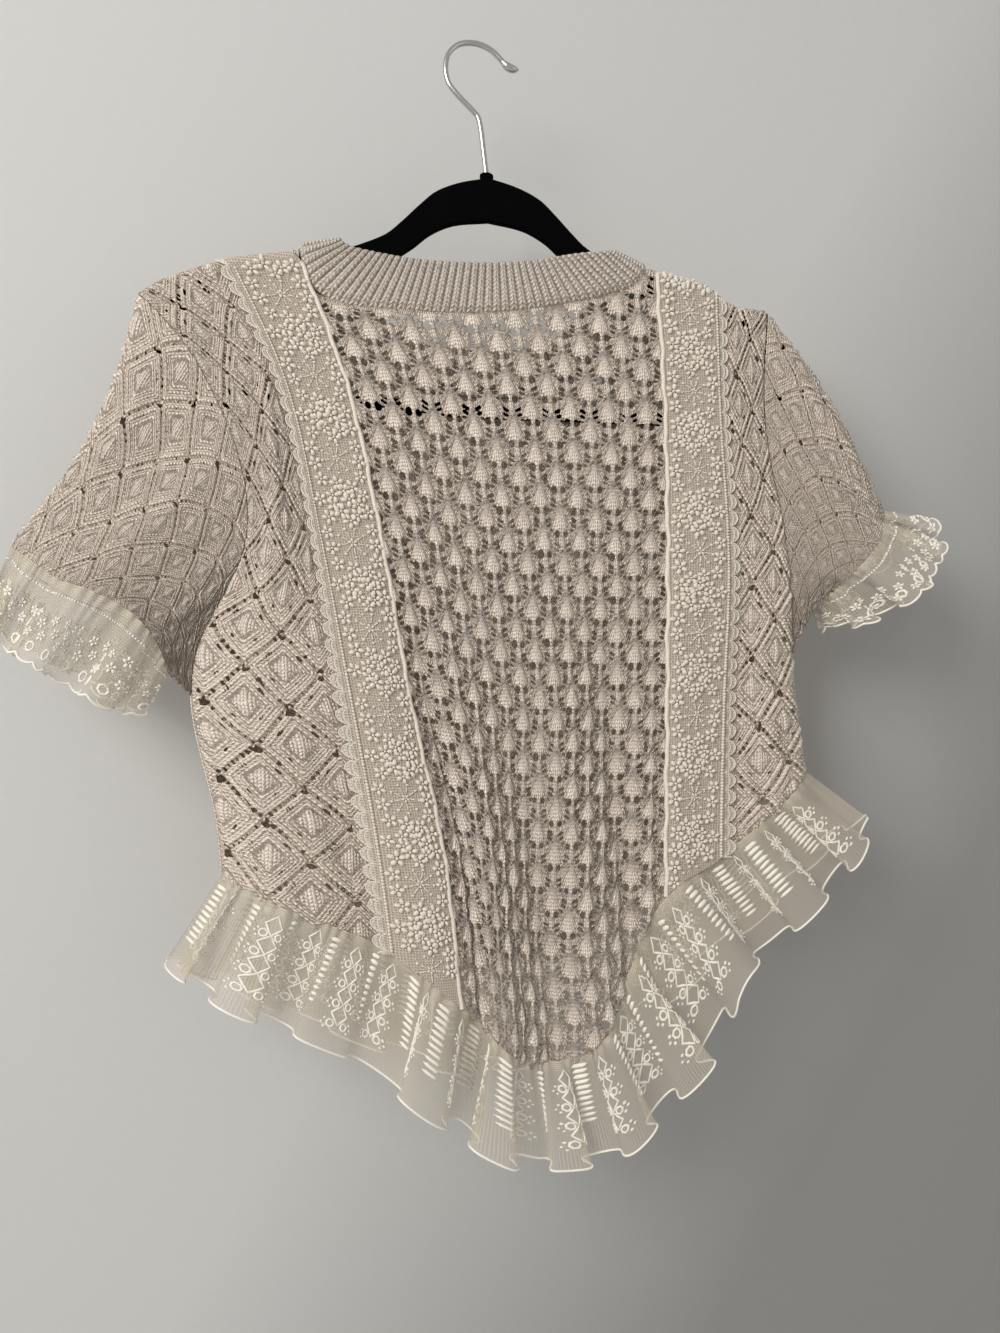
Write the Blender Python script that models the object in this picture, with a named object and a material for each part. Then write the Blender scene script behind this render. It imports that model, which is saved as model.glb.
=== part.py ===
"""A lace-knit crop top, hung by its shoulders on a slim clothes hanger and seen from its back.

The garment hangs in the XZ plane with its back towards -Y. The origin is where the hanger's
hook rests on what it hangs from. Sizes are in millimetres and become metres in the meshes.
"""
import math

import bpy
import bmesh
import numpy as np

MM = 0.001
COLLECTION = "lace_knit_crop_top"

KNIT_WALL = 1.5
TULLE_WALL = 1.0
HALF_SEAM = 0.25
# Distance from the plane between the two layers to the middle of each wall, along the side seams.
EDGE_Y = 1.1

# Each panel is drawn on its wales, the lines of knitting that run down the cloth. u counts the cloth
# across from the left side and v down it. A wale starts at z0, and its x is given every WALE_STEP of v.
WALE_STEP = 100
BACK_WALES = (
    # name            u   v_hem   z0    x0   x100  x200  x300  x400  x500
    ("left side",     0,   428,  -148, -236, -170, -142, -176, -160, -154),
    ("left lace",    66,   465,  -137, -160, -119,  -97,  -79,  -61,  -48),
    ("left cord",   106,   498,  -136, -116,  -81,  -60,  -43,  -22,  -11),
    ("centre",      222,   527,  -136,   -3,    2,   11,   23,   34,   43),
    ("right centre", 280,  507,  -136,   56,   60,   65,   70,   78,   86),
    ("right cord",  338,   420,  -136,  124,  129,  129,  127,  125,  125),
    ("right lace",  378,   398,  -136,  165,  167,  171,  166,  163,  163),
    ("right side",  430,   346,  -136,  206,  200,  217,  226,  241,  248),
)
FRONT_WALES = (
    # name            u   v_hem   z0    x0   x100  x200  x300  x400  x500
    ("left side",     0,   428,  -148, -236, -170, -142, -176, -160, -154),
    ("left neck",    98,   446,  -136, -122, -106,  -94,  -90,  -84,  -80),
    ("centre",      215,   470,  -136,    4,    6,   10,   16,   22,   28),
    ("right neck",  332,   428,  -136,  122,  122,  124,  126,  130,  136),
    ("right side",  430,   346,  -136,  206,  200,  217,  226,  241,  248),
)
LEFT_CORD, RIGHT_CORD, WIDTH = 106.0, 338.0, 430.0
# The back's upper cut edge: shoulder, neck and shoulder.
BACK_TOP = (
    # x, z
    (-216, -181), (-197, -167), (-177, -158), (-153, -150), (-130, -145.5), (-111.5, -143),
    (-111, -146), (-109, -157), (-106, -166), (-98, -171.5), (-88, -174), (-70, -175.4), (-48, -175.8), (3, -174.8),
    (52, -166.8), (92, -157), (108, -151), (114.5, -144), (118, -139.5), (134, -142.5), (160, -150),
    (184, -160), (206, -161),
)
# The front's upper cut edge, with the lower scoop of the front neck.
FRONT_TOP = (
    # x, z
    (-216, -181), (-197, -167), (-177, -158), (-153, -150), (-130, -145.5), (-112, -143),
    (-109.5, -149), (-104.5, -166), (-86.5, -195), (-70, -209), (-51, -219), (-25, -224.5), (5, -226.5),
    (36, -224.5), (61, -219), (80, -208), (94.5, -194.5), (111, -166), (116.5, -148), (119.5, -141), (134, -142.5), (160, -150), (184, -160), (206, -161),
)
# How far the middle of the cloth stands off the plane between the layers, and its two edges, which
# spread at the armholes and close at the shoulders and side seams.
DEPTHS = (
    # v    back  front  left edge  right edge
    (0,     5.0,   5.0,   1.1,   1.1),
    (26,    5.6,   5.6,   1.1,   1.1),
    (33,    5.8,   5.8,   1.1,   4.8),
    (38,    6.0,   6.0,   1.1,   5.2),
    (46,    6.4,   6.4,   5.0,   5.8),
    (90,    8.0,   7.5,   7.5,   8.0),
    (170,  11.5,  10.0,  11.0,  11.0),
    (230,  14.0,  12.0,  10.5,   7.0),
    (266,  15.0,  12.5,   8.0,   1.1),
    (316,  17.0,  13.5,   1.1,   1.1),
    (410,  20.0,  16.0,   1.1,   1.1),
    (530,  24.0,  18.0,   1.1,   1.1),
)
EDGE_ROUND = 34.0
SHOULDER_ROUND = 4.0
# Soft folds: a positive depth stands out of the garment, a negative one sinks in.
BACK_FOLDS = (
    # name                 u_top u_low v_from v_to width depth
    ("sleeve fold",           26,  34,  100, 300,  13,   4.0),
    ("side roll",             14,  16,  295, 450,  11,   5.0),
    ("left lace trough",      48,  58,  310, 480,  11,  -7.5),
    ("left lace ridge",       84,  88,  130, 440,  17,   3.5),
    ("left cord trough",     120, 128,  240, 510,  10,  -8.0),
    ("centre ridge",         160, 176,  250, 540,  22,   7.0),
    ("centre trough",        214, 232,  310, 550,  15,  -5.0),
    ("right ridge",          256, 268,  260, 530,  14,   5.0),
    ("right cord trough",    292, 304,  220, 480,  12,  -8.5),
    ("right lace ridge",     350, 346,  120, 410,  16,   5.0),
    ("right side trough",    394, 388,  190, 360,  12,  -4.0),
)
FRONT_FOLDS = (
    # name                 u_top u_low v_from v_to width depth
    ("left fold",             96, 120,  210, 490,  18,   5.0),
    ("left trough",          150, 168,  250, 490,  16,  -4.5),
    ("middle ridge",         214, 206,  230, 500,  20,   5.5),
    ("right trough",         262, 258,  260, 490,  15,  -5.0),
    ("right fold",           318, 330,  190, 430,  18,   5.0),
)

LEAF_COLUMNS = 16
LEAF_PITCH = 14.5
LEAF_EYELET = (0.20, 0.17)
LEAF_RELIEF = 1.4
EYELET_MARGIN = 9.0
LOZENGE_ROWS = 16
LOZENGE_EYELET = (0.12, 0.11)
LOZENGE_RELIEF = 1.0
LEFT_SIDE_COLUMNS = (0.25, 22, 44, 66, 86, 105.75)
RIGHT_SIDE_COLUMNS = (338.25, 358, 378, 395, 412, 429.75)
FRONT_COLUMNS = (
    0.25, 11, 34, 68, 98, 101, 106, 116, 134, 160, 188, 215, 242, 270, 296, 312, 322, 329, 334, 362, 396, 429.75,
)
FRONT_ROWS = 11

RIBS = 100
RIB_RELIEF = 1.0
# The ribbed neckband as a ring of stations: where its sewn edge and its free edge run.
NECKBAND = (
    # sewn edge x, y, z        free edge x, y, z
    (-108.0,  0.0, -139.0,    -85.0,  0.0, -134.5),
    (-107.0, -4.6, -144.5,    -85.5, -4.0, -136.0),
    (-103.6, -6.0, -159.0,    -80.0, -6.0, -140.0),
    (-88.0,  -6.6, -171.5,    -66.0, -6.5, -143.0),
    (-48.0,  -7.0, -174.4,    -38.0, -7.0, -146.0),
    (3.0,    -7.0, -173.4,      5.0, -7.0, -145.5),
    (52.0,   -7.0, -165.4,     42.0, -7.0, -141.0),
    (92.0,   -6.6, -155.0,     70.0, -6.5, -134.5),
    (108.0,  -5.8, -148.0,     87.0, -6.0, -131.5),
    (114.0,  -3.6, -140.0,     94.0, -3.6, -130.0),
    (116.0,   0.0, -136.5,     96.0,  0.0, -129.5),
    (114.5,   4.6, -146.0,     95.0,  4.6, -137.0),
    (109.0,   6.0, -164.0,     86.0,  6.0, -154.0),
    (92.0,    7.0, -192.0,     72.0,  7.0, -174.0),
    (60.0,    7.5, -216.0,     48.0,  7.5, -192.0),
    (5.0,     8.0, -224.0,      5.0,  8.0, -197.0),
    (-50.0,   7.5, -216.0,    -38.0,  7.5, -192.0),
    (-84.0,   7.0, -193.0,    -63.0,  7.0, -174.0),
    (-102.0,  6.0, -164.0,    -78.0,  6.0, -154.0),
    (-107.5,  4.6, -148.0,    -84.0,  4.4, -140.0),
)

SCALLOP = 11.0
SCALLOP_DEPTH = 9.0
LACE_START = 15.0
LACE_WALL = 1.0
LACE_LIFT = 2.6
LACE_RELIEF = 0.8

# Where the free edge of the back's gathered ruffle hangs below each place along the hem.
HEM_EDGE = (
    # u      x     z
    (0,    -192, -590),
    (33,   -130, -619),
    (66,    -72, -652),
    (106,   -26, -686),
    (160,     8, -708),
    (222,    50, -722),
    (265,    92, -715),
    (290,   122, -692),
    (310,   150, -666),
    (326,   164, -638),
    (338,   169, -612),
    (354,   180, -600),
    (378,   204, -588),
    (404,   244, -551),
    (430,   280, -512),
)
RUFFLE_GAP = 2.0
FRONT_DROP = 74.0
RUFFLE_FLARE = 7.0
HEM_FLUTES = 11
HEM_WAVE = 14.0
POINTS_PER_FLUTE = 7
# A gathered frill's flutes: how far their spacing wanders, how much their size varies, the size
# they already have in the seam, how far their sides bulge, how far they tip over, and how near to
# a side seam they fade.
FLUTE_DRIFT = 0.30
FLUTE_UNEVEN = 0.18
FLUTE_AT_SEAM = 0.12
FLUTE_BULGE = 0.20
FLUTE_TIP = 0.30
FLUTE_FADE = 0.055

# Each sleeve runs from the armhole, which is the edge of the back and front, to its cuff.
SLEEVES = (
    {
        "side": "left", "edge": 0.0, "arm_from": 40.5, "arm_to": 312.0, "out": -1,
        # x, z of the cuff seam and of the cuff ruffle's edge, from the shoulder fold to the underarm
        "cuff": ((-281, -333), (-266, -343), (-250, -354), (-230, -361), (-208, -374), (-196, -391), (-190, -408)),
        "edge_line": ((-298, -374), (-288, -390), (-268, -402), (-246, -416), (-225, -430), (-214, -434), (-206, -434)),
        "cuff_depth": 24, "edge_depth": 32, "top_sag": (10, -5),
    },
    {
        "side": "right", "edge": 430.0, "arm_from": 27.0, "arm_to": 262.0, "out": 1,
        "cuff": ((289, -298), (278, -308), (268, -321), (257, -336), (248, -349), (242, -357), (237, -362)),
        "edge_line": ((322, -308), (319, -322), (309, -337), (298, -351), (284, -364), (270, -374), (254, -380)),
        "cuff_depth": 38, "edge_depth": 50, "top_sag": (4, 8),
    },
)
SLEEVE_AROUND = (0.0, 0.025, 0.1, 0.23, 0.38, 0.54, 0.7, 0.84, 0.94, 1.0)
SLEEVE_RINGS = 6
RING_FOLD = 0.04
ARMHOLE_GAP = 1.5
CUFF_FLUTES = 8
CUFF_WAVE = 7.5

HANGER_MIDDLE = 10.5
HANGER_THICK = 5.4
HANGER_ROUND = 1.2
# The hanger's outline on one side of its middle: distance out, z.
HANGER_TOP = (
    (0, -86), (20, -91), (35, -98), (45, -107), (57, -119), (66, -127), (80, -134), (93, -139),
    (125, -147), (150, -154), (175, -162), (195, -171), (210, -184), (216, -196), (217, -212),
    (212, -230), (203, -240), (188, -243),
)
HANGER_GAP = (
    (0, -115), (24, -119), (38, -126), (50, -136), (66, -146), (93, -153), (125, -161), (150, -168),
    (175, -177), (191, -187), (200, -199), (202, -212), (198, -226), (188, -233),
)
HOOK_WIRE = 3.6
# x, z of the wire's centre, from the hanger's neck round the hook to the ball.
HOOK = (
    (9.6, -84.5), (7.4, -67), (5.6, -53), (3.8, -46), (-1.0, -41), (-10.5, -32), (-15.5, -25.5), (-17.4, -17),
    (-15.5, -7), (-9, -0.2), (0, 1.9), (8, 0.6), (14, -2.4), (19, -7), (23, -10.8), (27, -12.4), (31, -12.6),
)
HOOK_POINTS = 28
HOOK_BALL = 5.4

# colour, roughness, metallic
FINISHES = {
    "knit": ((0.62, 0.55, 0.47, 1.0), 0.85, 0.0),
    "lace": ((0.72, 0.65, 0.56, 1.0), 0.8, 0.0),
    "tulle": ((0.60, 0.56, 0.46, 1.0), 0.7, 0.0),
    "velvet": ((0.012, 0.012, 0.013, 1.0), 0.95, 0.0),
    "steel": ((0.55, 0.55, 0.55, 1.0), 0.28, 1.0),
}


# ---------------------------------------------------------------- smooth lines through tables
def through(stations, values, at):
    """A smooth curve through the values at the stations, read at other places."""
    stations = np.asarray(stations, float)
    values = np.asarray(values, float)
    at = np.clip(np.asarray(at, float), stations[0], stations[-1])
    steps = np.diff(stations)
    slopes = np.diff(values, axis=0) / steps.reshape((-1,) + (1,) * (values.ndim - 1))
    tangents = np.concatenate([slopes[:1], 0.5 * (slopes[1:] + slopes[:-1]), slopes[-1:]])
    k = np.clip(np.searchsorted(stations, at, side="right") - 1, 0, len(steps) - 1)
    shape = k.shape + (1,) * (values.ndim - 1)
    h = steps[k].reshape(shape)
    t = ((at - stations[k]) / steps[k]).reshape(shape)
    return ((2 * t**3 - 3 * t**2 + 1) * values[k] + (t**3 - 2 * t**2 + t) * h * tangents[k]
            + (3 * t**2 - 2 * t**3) * values[k + 1] + (t**3 - t**2) * h * tangents[k + 1])


def runs_along(points):
    """Distance along a line of points."""
    return np.concatenate([[0.0], np.cumsum(np.linalg.norm(np.diff(points, axis=0), axis=1))])


def line_through(points, shares):
    """Points at the given shares of a smooth open curve's length."""
    points = np.asarray(points, float)
    runs = runs_along(points)
    return through(runs, points, np.asarray(shares) * runs[-1])


def loop_through(points, count):
    """Evenly spaced points on a smooth closed curve."""
    points = np.asarray(points, float)
    closed = np.concatenate([points[-2:], points, points[:3]])
    runs = runs_along(closed)
    return through(runs, closed, np.linspace(runs[2], runs[2 + len(points)], count, endpoint=False))


# ---------------------------------------------------------------- the cloth's surfaces
GRID_U = np.arange(-2.0, WIDTH + 2.1, 2.0)
GRID_V = np.arange(0.0, 561.0, 5.0)
CUT_SEARCH = 160.0
CUT_STEPS = 3201


class Panel:
    """A knitted panel: where its cloth lies, and its upper cut edge and hem."""

    def __init__(self, wales, top, folds, depth_column, neck, towards):
        self.wales, self.folds, self.depth_column = wales, folds, depth_column
        self.neck, self.towards = neck, towards
        self.u = [row[1] for row in wales]
        self.hems = [row[2] for row in wales]
        self.grid = self.wale_grid()
        self.top_v = self.cut_edge(np.array(top, float))

    def wale_grid(self):
        """x and z on a fine grid. The knitting keeps its length, so z follows from x's slant."""
        stations = [WALE_STEP * k for k in range(6)]
        lines_x = np.array([through(stations, row[4:], GRID_V) for row in self.wales])
        step = GRID_V[1] - GRID_V[0]
        drops = np.sqrt(step**2 - np.minimum(np.diff(lines_x, axis=1)**2, 0.9 * step**2))
        starts = np.array([[row[3]] for row in self.wales], float)
        lines_z = np.concatenate([starts, starts - np.cumsum(drops, axis=1)], axis=1)
        return np.stack([through(self.u, lines_x, GRID_U), through(self.u, lines_z, GRID_U)], axis=2)

    def cut_edge(self, table):
        """v at which each wale, followed down, first reaches the upper cut edge."""
        steps = np.linspace(0.0, CUT_SEARCH, CUT_STEPS)
        x, z = np.moveaxis(self.xz(GRID_U[:, None], steps[None, :]), -1, 0)
        return steps[np.argmax(z <= np.interp(x, table[:, 0], table[:, 1]), axis=1)]

    def xz(self, u, v):
        """x and z at cloth places u, v."""
        a = np.clip((u - GRID_U[0]) / (GRID_U[1] - GRID_U[0]), 0, len(GRID_U) - 1.001)
        b = np.clip((v - GRID_V[0]) / (GRID_V[1] - GRID_V[0]), 0, len(GRID_V) - 1.001)
        i, j = a.astype(int), b.astype(int)
        s, t = (a - i)[..., None], (b - j)[..., None]
        low = self.grid[i, j] * (1 - s) + self.grid[i + 1, j] * s
        high = self.grid[i, j + 1] * (1 - s) + self.grid[i + 1, j + 1] * s
        return low * (1 - t) + high * t

    def top(self, u):
        """v of the upper cut edge."""
        return np.interp(u, GRID_U, self.top_v)

    def hem(self, u):
        """v of the hem."""
        return through(self.u, self.hems, u)

    def surface(self, u, v):
        """Places of the panel's middle surface."""
        xz = self.xz(u, v)
        on_shoulder = (u < self.neck[0]) | (u > self.neck[1])
        below = np.where(on_shoulder, v - self.top(u), SHOULDER_ROUND)
        off = stand_off(self.depth_column, u, v, below) + fold_height(self.folds, u, v)
        return np.stack([xz[..., 0], self.towards * off, xz[..., 1]], -1)

    def normals(self, u, v):
        """Unit normals out of the garment."""
        step = 1.5
        across = self.surface(u + step, v) - self.surface(u - step, v)
        normal = np.cross(across, self.surface(u, v + step) - self.surface(u, v - step))
        normal /= np.linalg.norm(normal, axis=-1, keepdims=True)
        return normal * np.where(normal[..., 1:2] * self.towards < 0, -1.0, 1.0)


def fold_height(folds, u, v):
    """The sum of the soft folds at cloth places u, v."""
    height = np.zeros_like(u)
    for _, u_top, u_low, v_from, v_to, width, depth in folds:
        along = np.clip((v - v_from) / (v_to - v_from), 0.0, 1.0)
        swell = np.sin(0.5 * np.pi * np.minimum(along * 1.8, 1.0)) * (1.0 - 0.3 * along)
        middle = u_top + (u_low - u_top) * along
        height += depth * swell * np.exp(-((u - middle) / width) ** 2)
    return height


def stand_off(column, u, v, below_shoulder):
    """Distance of a layer from the plane between the layers, closing at its sides and shoulders."""
    stations = [row[0] for row in DEPTHS]
    middle = through(stations, [row[column] for row in DEPTHS], v)
    left = np.interp(v, stations, [row[3] for row in DEPTHS])
    right = np.interp(v, stations, [row[4] for row in DEPTHS])
    near_left = np.clip(u / EDGE_ROUND, 0, 1)
    near_right = np.clip((WIDTH - u) / EDGE_ROUND, 0, 1)
    from_left = left + (middle - left) * np.sqrt(1 - (1 - near_left) ** 2)
    from_right = right + (middle - right) * np.sqrt(1 - (1 - near_right) ** 2)
    off = np.where(u < WIDTH / 2, from_left, from_right)
    return EDGE_Y + (off - EDGE_Y) * np.clip(below_shoulder / SHOULDER_ROUND, 0, 1)


BACK = Panel(BACK_WALES, BACK_TOP, BACK_FOLDS, 1, (LEFT_CORD - 2, RIGHT_CORD), -1.0)
FRONT = Panel(FRONT_WALES, FRONT_TOP, FRONT_FOLDS, 2, (99.0, 331.0), 1.0)


def grid_normals(points, closed):
    """Unit normals of a grid of points, rows first, whose columns may close into a ring."""
    if closed:
        across = np.roll(points, -1, axis=1) - np.roll(points, 1, axis=1)
    else:
        across = np.gradient(points, axis=1)
    normal = np.cross(across, np.gradient(points, axis=0))
    return normal / np.linalg.norm(normal, axis=2, keepdims=True)


# ---------------------------------------------------------------- objects
def new_object(name, data, finish):
    """Put a mesh or a curve in the part's collection with a material of its own."""
    obj = bpy.data.objects.new(name, data)
    part.objects.link(obj)
    colour, roughness, metallic = FINISHES[finish]
    material = bpy.data.materials.new(name + "_finish")
    material.use_nodes = True
    shader = material.node_tree.nodes["Principled BSDF"]
    shader.inputs["Base Color"].default_value = colour
    shader.inputs["Roughness"].default_value = roughness
    shader.inputs["Metallic"].default_value = metallic
    obj.data.materials.append(material)
    return obj


def wall(name, outer, inner, faces, finish):
    """A closed wall between two sheets of points that share their faces."""
    bm = bmesh.new()
    outside = [bm.verts.new(point * MM) for point in outer]
    inside = [bm.verts.new(point * MM) for point in inner]
    edges = set()
    for face in faces:
        bm.faces.new([outside[k] for k in face])
        bm.faces.new([inside[k] for k in reversed(face)])
        edges.update(zip(face, face[1:] + face[:1]))
    for a, b in sorted(edges):
        if (b, a) not in edges:
            bm.faces.new([outside[b], outside[a], inside[a], inside[b]])
    bmesh.ops.recalc_face_normals(bm, faces=bm.faces)
    mesh = bpy.data.meshes.new(name)
    bm.to_mesh(mesh)
    bm.free()
    return new_object(name, mesh, finish)


def grid_faces(rows, columns, closed=False):
    """Quads of a grid whose points are stored row by row."""
    faces = []
    for j in range(rows - 1):
        for i in range(columns if closed else columns - 1):
            k = (i + 1) % columns
            faces.append([j * columns + i, (j + 1) * columns + i, (j + 1) * columns + k, j * columns + k])
    return faces


def grid_wall(name, points, thickness, finish, closed=False):
    """A wall of even thickness about a grid of points, rows first.

    Each quad is split along its shorter diagonal, so that both sides of the wall bend alike.
    """
    rows, columns = points.shape[:2]
    normal = grid_normals(points, closed)
    outer = (points + normal * thickness / 2).reshape(-1, 3)
    inner = (points - normal * thickness / 2).reshape(-1, 3)
    middle = points.reshape(-1, 3)
    faces = []
    for a, b, c, d in grid_faces(rows, columns, closed):
        if np.linalg.norm(middle[a] - middle[c]) <= np.linalg.norm(middle[b] - middle[d]):
            faces += [[a, b, c], [a, c, d]]
        else:
            faces += [[a, b, d], [b, c, d]]
    return wall(name, outer, inner, faces, finish)


# ---------------------------------------------------------------- lace lattices
def lattice(columns, rows, eyelet, is_open):
    """Triangles of a lace lattice, with places in steps of its grid.

    Each even crossing is the top of a puff, with triangles all round it. Each odd crossing is a
    knot, or a square eyelet where is_open says so, and the puffs round it share its corners.
    """
    a, b = eyelet

    def corners(i, j, first, second):
        if not is_open(i, j):
            return [(i, j)]
        return [(i + a * first[0], j + b * first[1]), (i + a * second[0], j + b * second[1])]

    triangles = []
    for i in range(columns + 1):
        for j in range(rows + 1):
            if (i + j) % 2:
                continue
            sides = [
                corners(i, j - 1, (-1, 1), (1, 1)) if j > 0 else None,
                corners(i + 1, j, (-1, -1), (-1, 1)) if i < columns else None,
                corners(i, j + 1, (1, -1), (-1, -1)) if j < rows else None,
                corners(i - 1, j, (1, 1), (1, -1)) if i > 0 else None,
            ]
            gap = max((k for k in range(4) if sides[k] is None and sides[(k + 1) % 4]), default=None)
            first = 0 if gap is None else gap + 1
            ring = [place for k in range(4) for place in sides[(first + k) % 4] or []]
            if gap is None:
                ring.append(ring[0])
            triangles += [((i, j), p, q) for p, q in zip(ring, ring[1:])]
    return triangles


def crossing(here, there, level):
    """Where the edge between two places meets the level line, the same from either end."""
    low, high = (here, there) if level(here) < level(there) else (there, here)
    for _ in range(24):
        middle = (0.5 * (low[0] + high[0]), 0.5 * (low[1] + high[1]))
        low, high = (low, middle) if level(middle) > 0 else (middle, high)
    return (round(low[0], 4), round(low[1], 4))


def clip(triangles, level, down, snap):
    """Keep the part of each triangle inside an edge, where level, in steps of v, is above zero.

    down is 1 where the cloth lies below the edge and -1 where it lies above. Places nearer to the
    edge than snap are moved onto it first, so that no sliver is left.
    """
    def settle(place):
        depth = level(place)
        return (place[0], place[1] - down * depth) if abs(depth) < snap else place

    kept = []
    for triangle in triangles:
        ring = [settle(place) for place in triangle]
        depths = [0.0 if abs(level(place)) < 1e-6 else level(place) for place in ring]
        polygon = []
        for k in range(3):
            here, there = k, (k + 1) % 3
            if depths[here] >= 0:
                polygon.append(ring[here])
            if depths[here] * depths[there] < 0:
                polygon.append(crossing(ring[here], ring[there], level))
        if len(polygon) > 2 and max(depths) > 0:
            kept += [(polygon[0], p, q) for p, q in zip(polygon[1:], polygon[2:])]
    return kept


def lace_wall(name, triangles, relief):
    """A wall over cloth triangles whose puffs are raised in its outer points over a plain inside."""
    index = {}
    faces = [[index.setdefault(place, len(index)) for place in triangle] for triangle in triangles]
    places = np.array(list(index), float)
    u, v = places[:, 0], places[:, 1]
    middle = BACK.surface(u, v)
    normal = BACK.normals(u, v)
    raised = np.array([relief(*place) for place in places])[:, None]
    return wall(name, middle + normal * (KNIT_WALL / 2 + raised), middle - normal * KNIT_WALL / 2, faces, "knit")


# ---------------------------------------------------------------- the pieces
def make_back_centre():
    """The leaf-lace panel between the two cords: a puffy leaf over each even crossing."""
    left, right = LEFT_CORD + HALF_SEAM, RIGHT_CORD - HALF_SEAM
    rows = int(max(BACK.hems) / LEAF_PITCH) + 2

    def u_at(i):
        return left + (right - left) * i / LEAF_COLUMNS

    def is_open(i, j):
        v = j * LEAF_PITCH
        above, below = v - BACK.top(u_at(i)), BACK.hem(u_at(i)) - v
        return 0 < i < LEAF_COLUMNS and min(above, below) > EYELET_MARGIN

    def relief(u, v):
        i, j = (u - left) / (right - left) * LEAF_COLUMNS, v / LEAF_PITCH
        on_leaf = abs(i - round(i)) < 0.01 and abs(j - round(j)) < 0.01 and (round(i) + round(j)) % 2 == 0
        inside = min(v - BACK.top(u), BACK.hem(u) - v, u - left - 1, right - 1 - u) > 0
        return LEAF_RELIEF if on_leaf and inside else 0.0

    triangles = [tuple((round(float(u_at(i)), 4), round(j * LEAF_PITCH, 4)) for i, j in triangle)
                 for triangle in lattice(LEAF_COLUMNS, rows, LEAF_EYELET, is_open)]
    triangles = clip(triangles, lambda p: float(p[1] - BACK.top(p[0])), 1, 3.0)
    triangles = clip(triangles, lambda p: float(BACK.hem(p[0]) - p[1]), -1, 3.0)
    lace_wall("back_centre", triangles, relief)


def make_back_side(side, columns, open_columns):
    """A lozenge-lace panel from the cord to the armhole and side seam, running under the lace band."""
    stations = range(len(columns))

    def place(i, j):
        u = float(np.interp(i, stations, columns))
        top, hem = float(BACK.top(u)), float(BACK.hem(u))
        v = top if j < 0 else top + SHOULDER_ROUND + (hem - top - SHOULDER_ROUND) * j / LOZENGE_ROWS
        return (round(u, 4), round(v, 4))

    def is_open(i, j):
        return i in open_columns and 1 < j < LOZENGE_ROWS - 1

    last = len(columns) - 1
    lattice_triangles = lattice(last, LOZENGE_ROWS, LOZENGE_EYELET, is_open)
    triangles = [tuple(place(*point) for point in triangle) for triangle in lattice_triangles]
    puffs = {place(i, j) for i in open_columns for j in range(1, LOZENGE_ROWS) if (i + j) % 2 == 0}
    for i in range(last):
        top_left, top_right, low_left, low_right = place(i, -1), place(i + 1, -1), place(i, 0), place(i + 1, 0)
        triangles += [(top_left, top_right, low_right), (top_left, low_right, low_left)]
    lace_wall("back_side_" + side, triangles,
              lambda u, v: LOZENGE_RELIEF if (round(u, 4), round(v, 4)) in puffs else 0.0)


def make_front():
    """The hidden front: one plain closed panel with a lower neck."""
    u = np.array(FRONT_COLUMNS)
    top, hem = FRONT.top(u), FRONT.hem(u)
    rows = [top] + [top + SHOULDER_ROUND + (hem - top - SHOULDER_ROUND) * j / FRONT_ROWS
                    for j in range(FRONT_ROWS + 1)]
    v = np.array(rows)
    points = FRONT.surface(np.broadcast_to(u, v.shape), v)
    grid_wall("front", points, KNIT_WALL, "knit")


def make_neckband():
    """The ribbed band round the neck: every second column of its outer points is a rib."""
    ring = loop_through(NECKBAND, 2 * RIBS)
    points = np.stack([ring[:, :3], ring[:, 3:]])
    normal = grid_normals(points, True)
    rib = np.where(np.arange(2 * RIBS) % 2 == 0, RIB_RELIEF, 0.0)[None, :, None]
    outer = (points + normal * (KNIT_WALL / 2 + rib)).reshape(-1, 3)
    inner = (points - normal * KNIT_WALL / 2).reshape(-1, 3)
    wall("neckband", outer, inner, grid_faces(2, 2 * RIBS, True), "knit")


def make_lace_band(side, cord, middle, picot, outer):
    """A tulle lace band over the panel: corded inner edge, raised flowers, picot line and scallops."""
    lines = np.array([cord, middle, picot])
    start = BACK.top(lines) + LACE_START
    end = BACK.hem(lines) - 1
    count = round(float(np.mean(end - start)) / SCALLOP)
    shares = np.linspace(0, 1, count + 1)
    u = np.broadcast_to(lines, (count + 1, 3))
    v = start + (end - start) * shares[:, None]
    beyond = np.array([outer])
    share = SCALLOP_DEPTH / abs(outer - picot)

    def lifted(uu, vv, relief):
        normal = BACK.normals(uu, vv)
        base = BACK.surface(uu, vv) + normal * LACE_LIFT
        return base + normal * (LACE_WALL / 2 + relief), base - normal * LACE_WALL / 2

    relief = np.array([LACE_RELIEF, LACE_RELIEF, 0.0])[None, :, None]
    face_out, face_in = lifted(u, v, relief)
    outer_points = list(face_out.reshape(-1, 3))
    inner_points = list(face_in.reshape(-1, 3))
    faces = grid_faces(count + 1, 3)
    for k in range(count):
        tips = []
        for part_way in (0.22, 0.78):
            along = v[k, 2] + (v[k + 1, 2] - v[k, 2]) * part_way
            at_picot = lifted(np.array([picot]), np.array([along]), 0.0)
            at_beyond = lifted(beyond, np.array([along]), 0.0)
            tips.append(len(outer_points))
            outer_points.append((at_picot[0] * (1 - share) + at_beyond[0] * share)[0])
            inner_points.append((at_picot[1] * (1 - share) + at_beyond[1] * share)[0])
        faces.append([k * 3 + 2, (k + 1) * 3 + 2, tips[1], tips[0]])
    wall("lace_band_" + side, outer_points, inner_points, faces, "lace")


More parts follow.
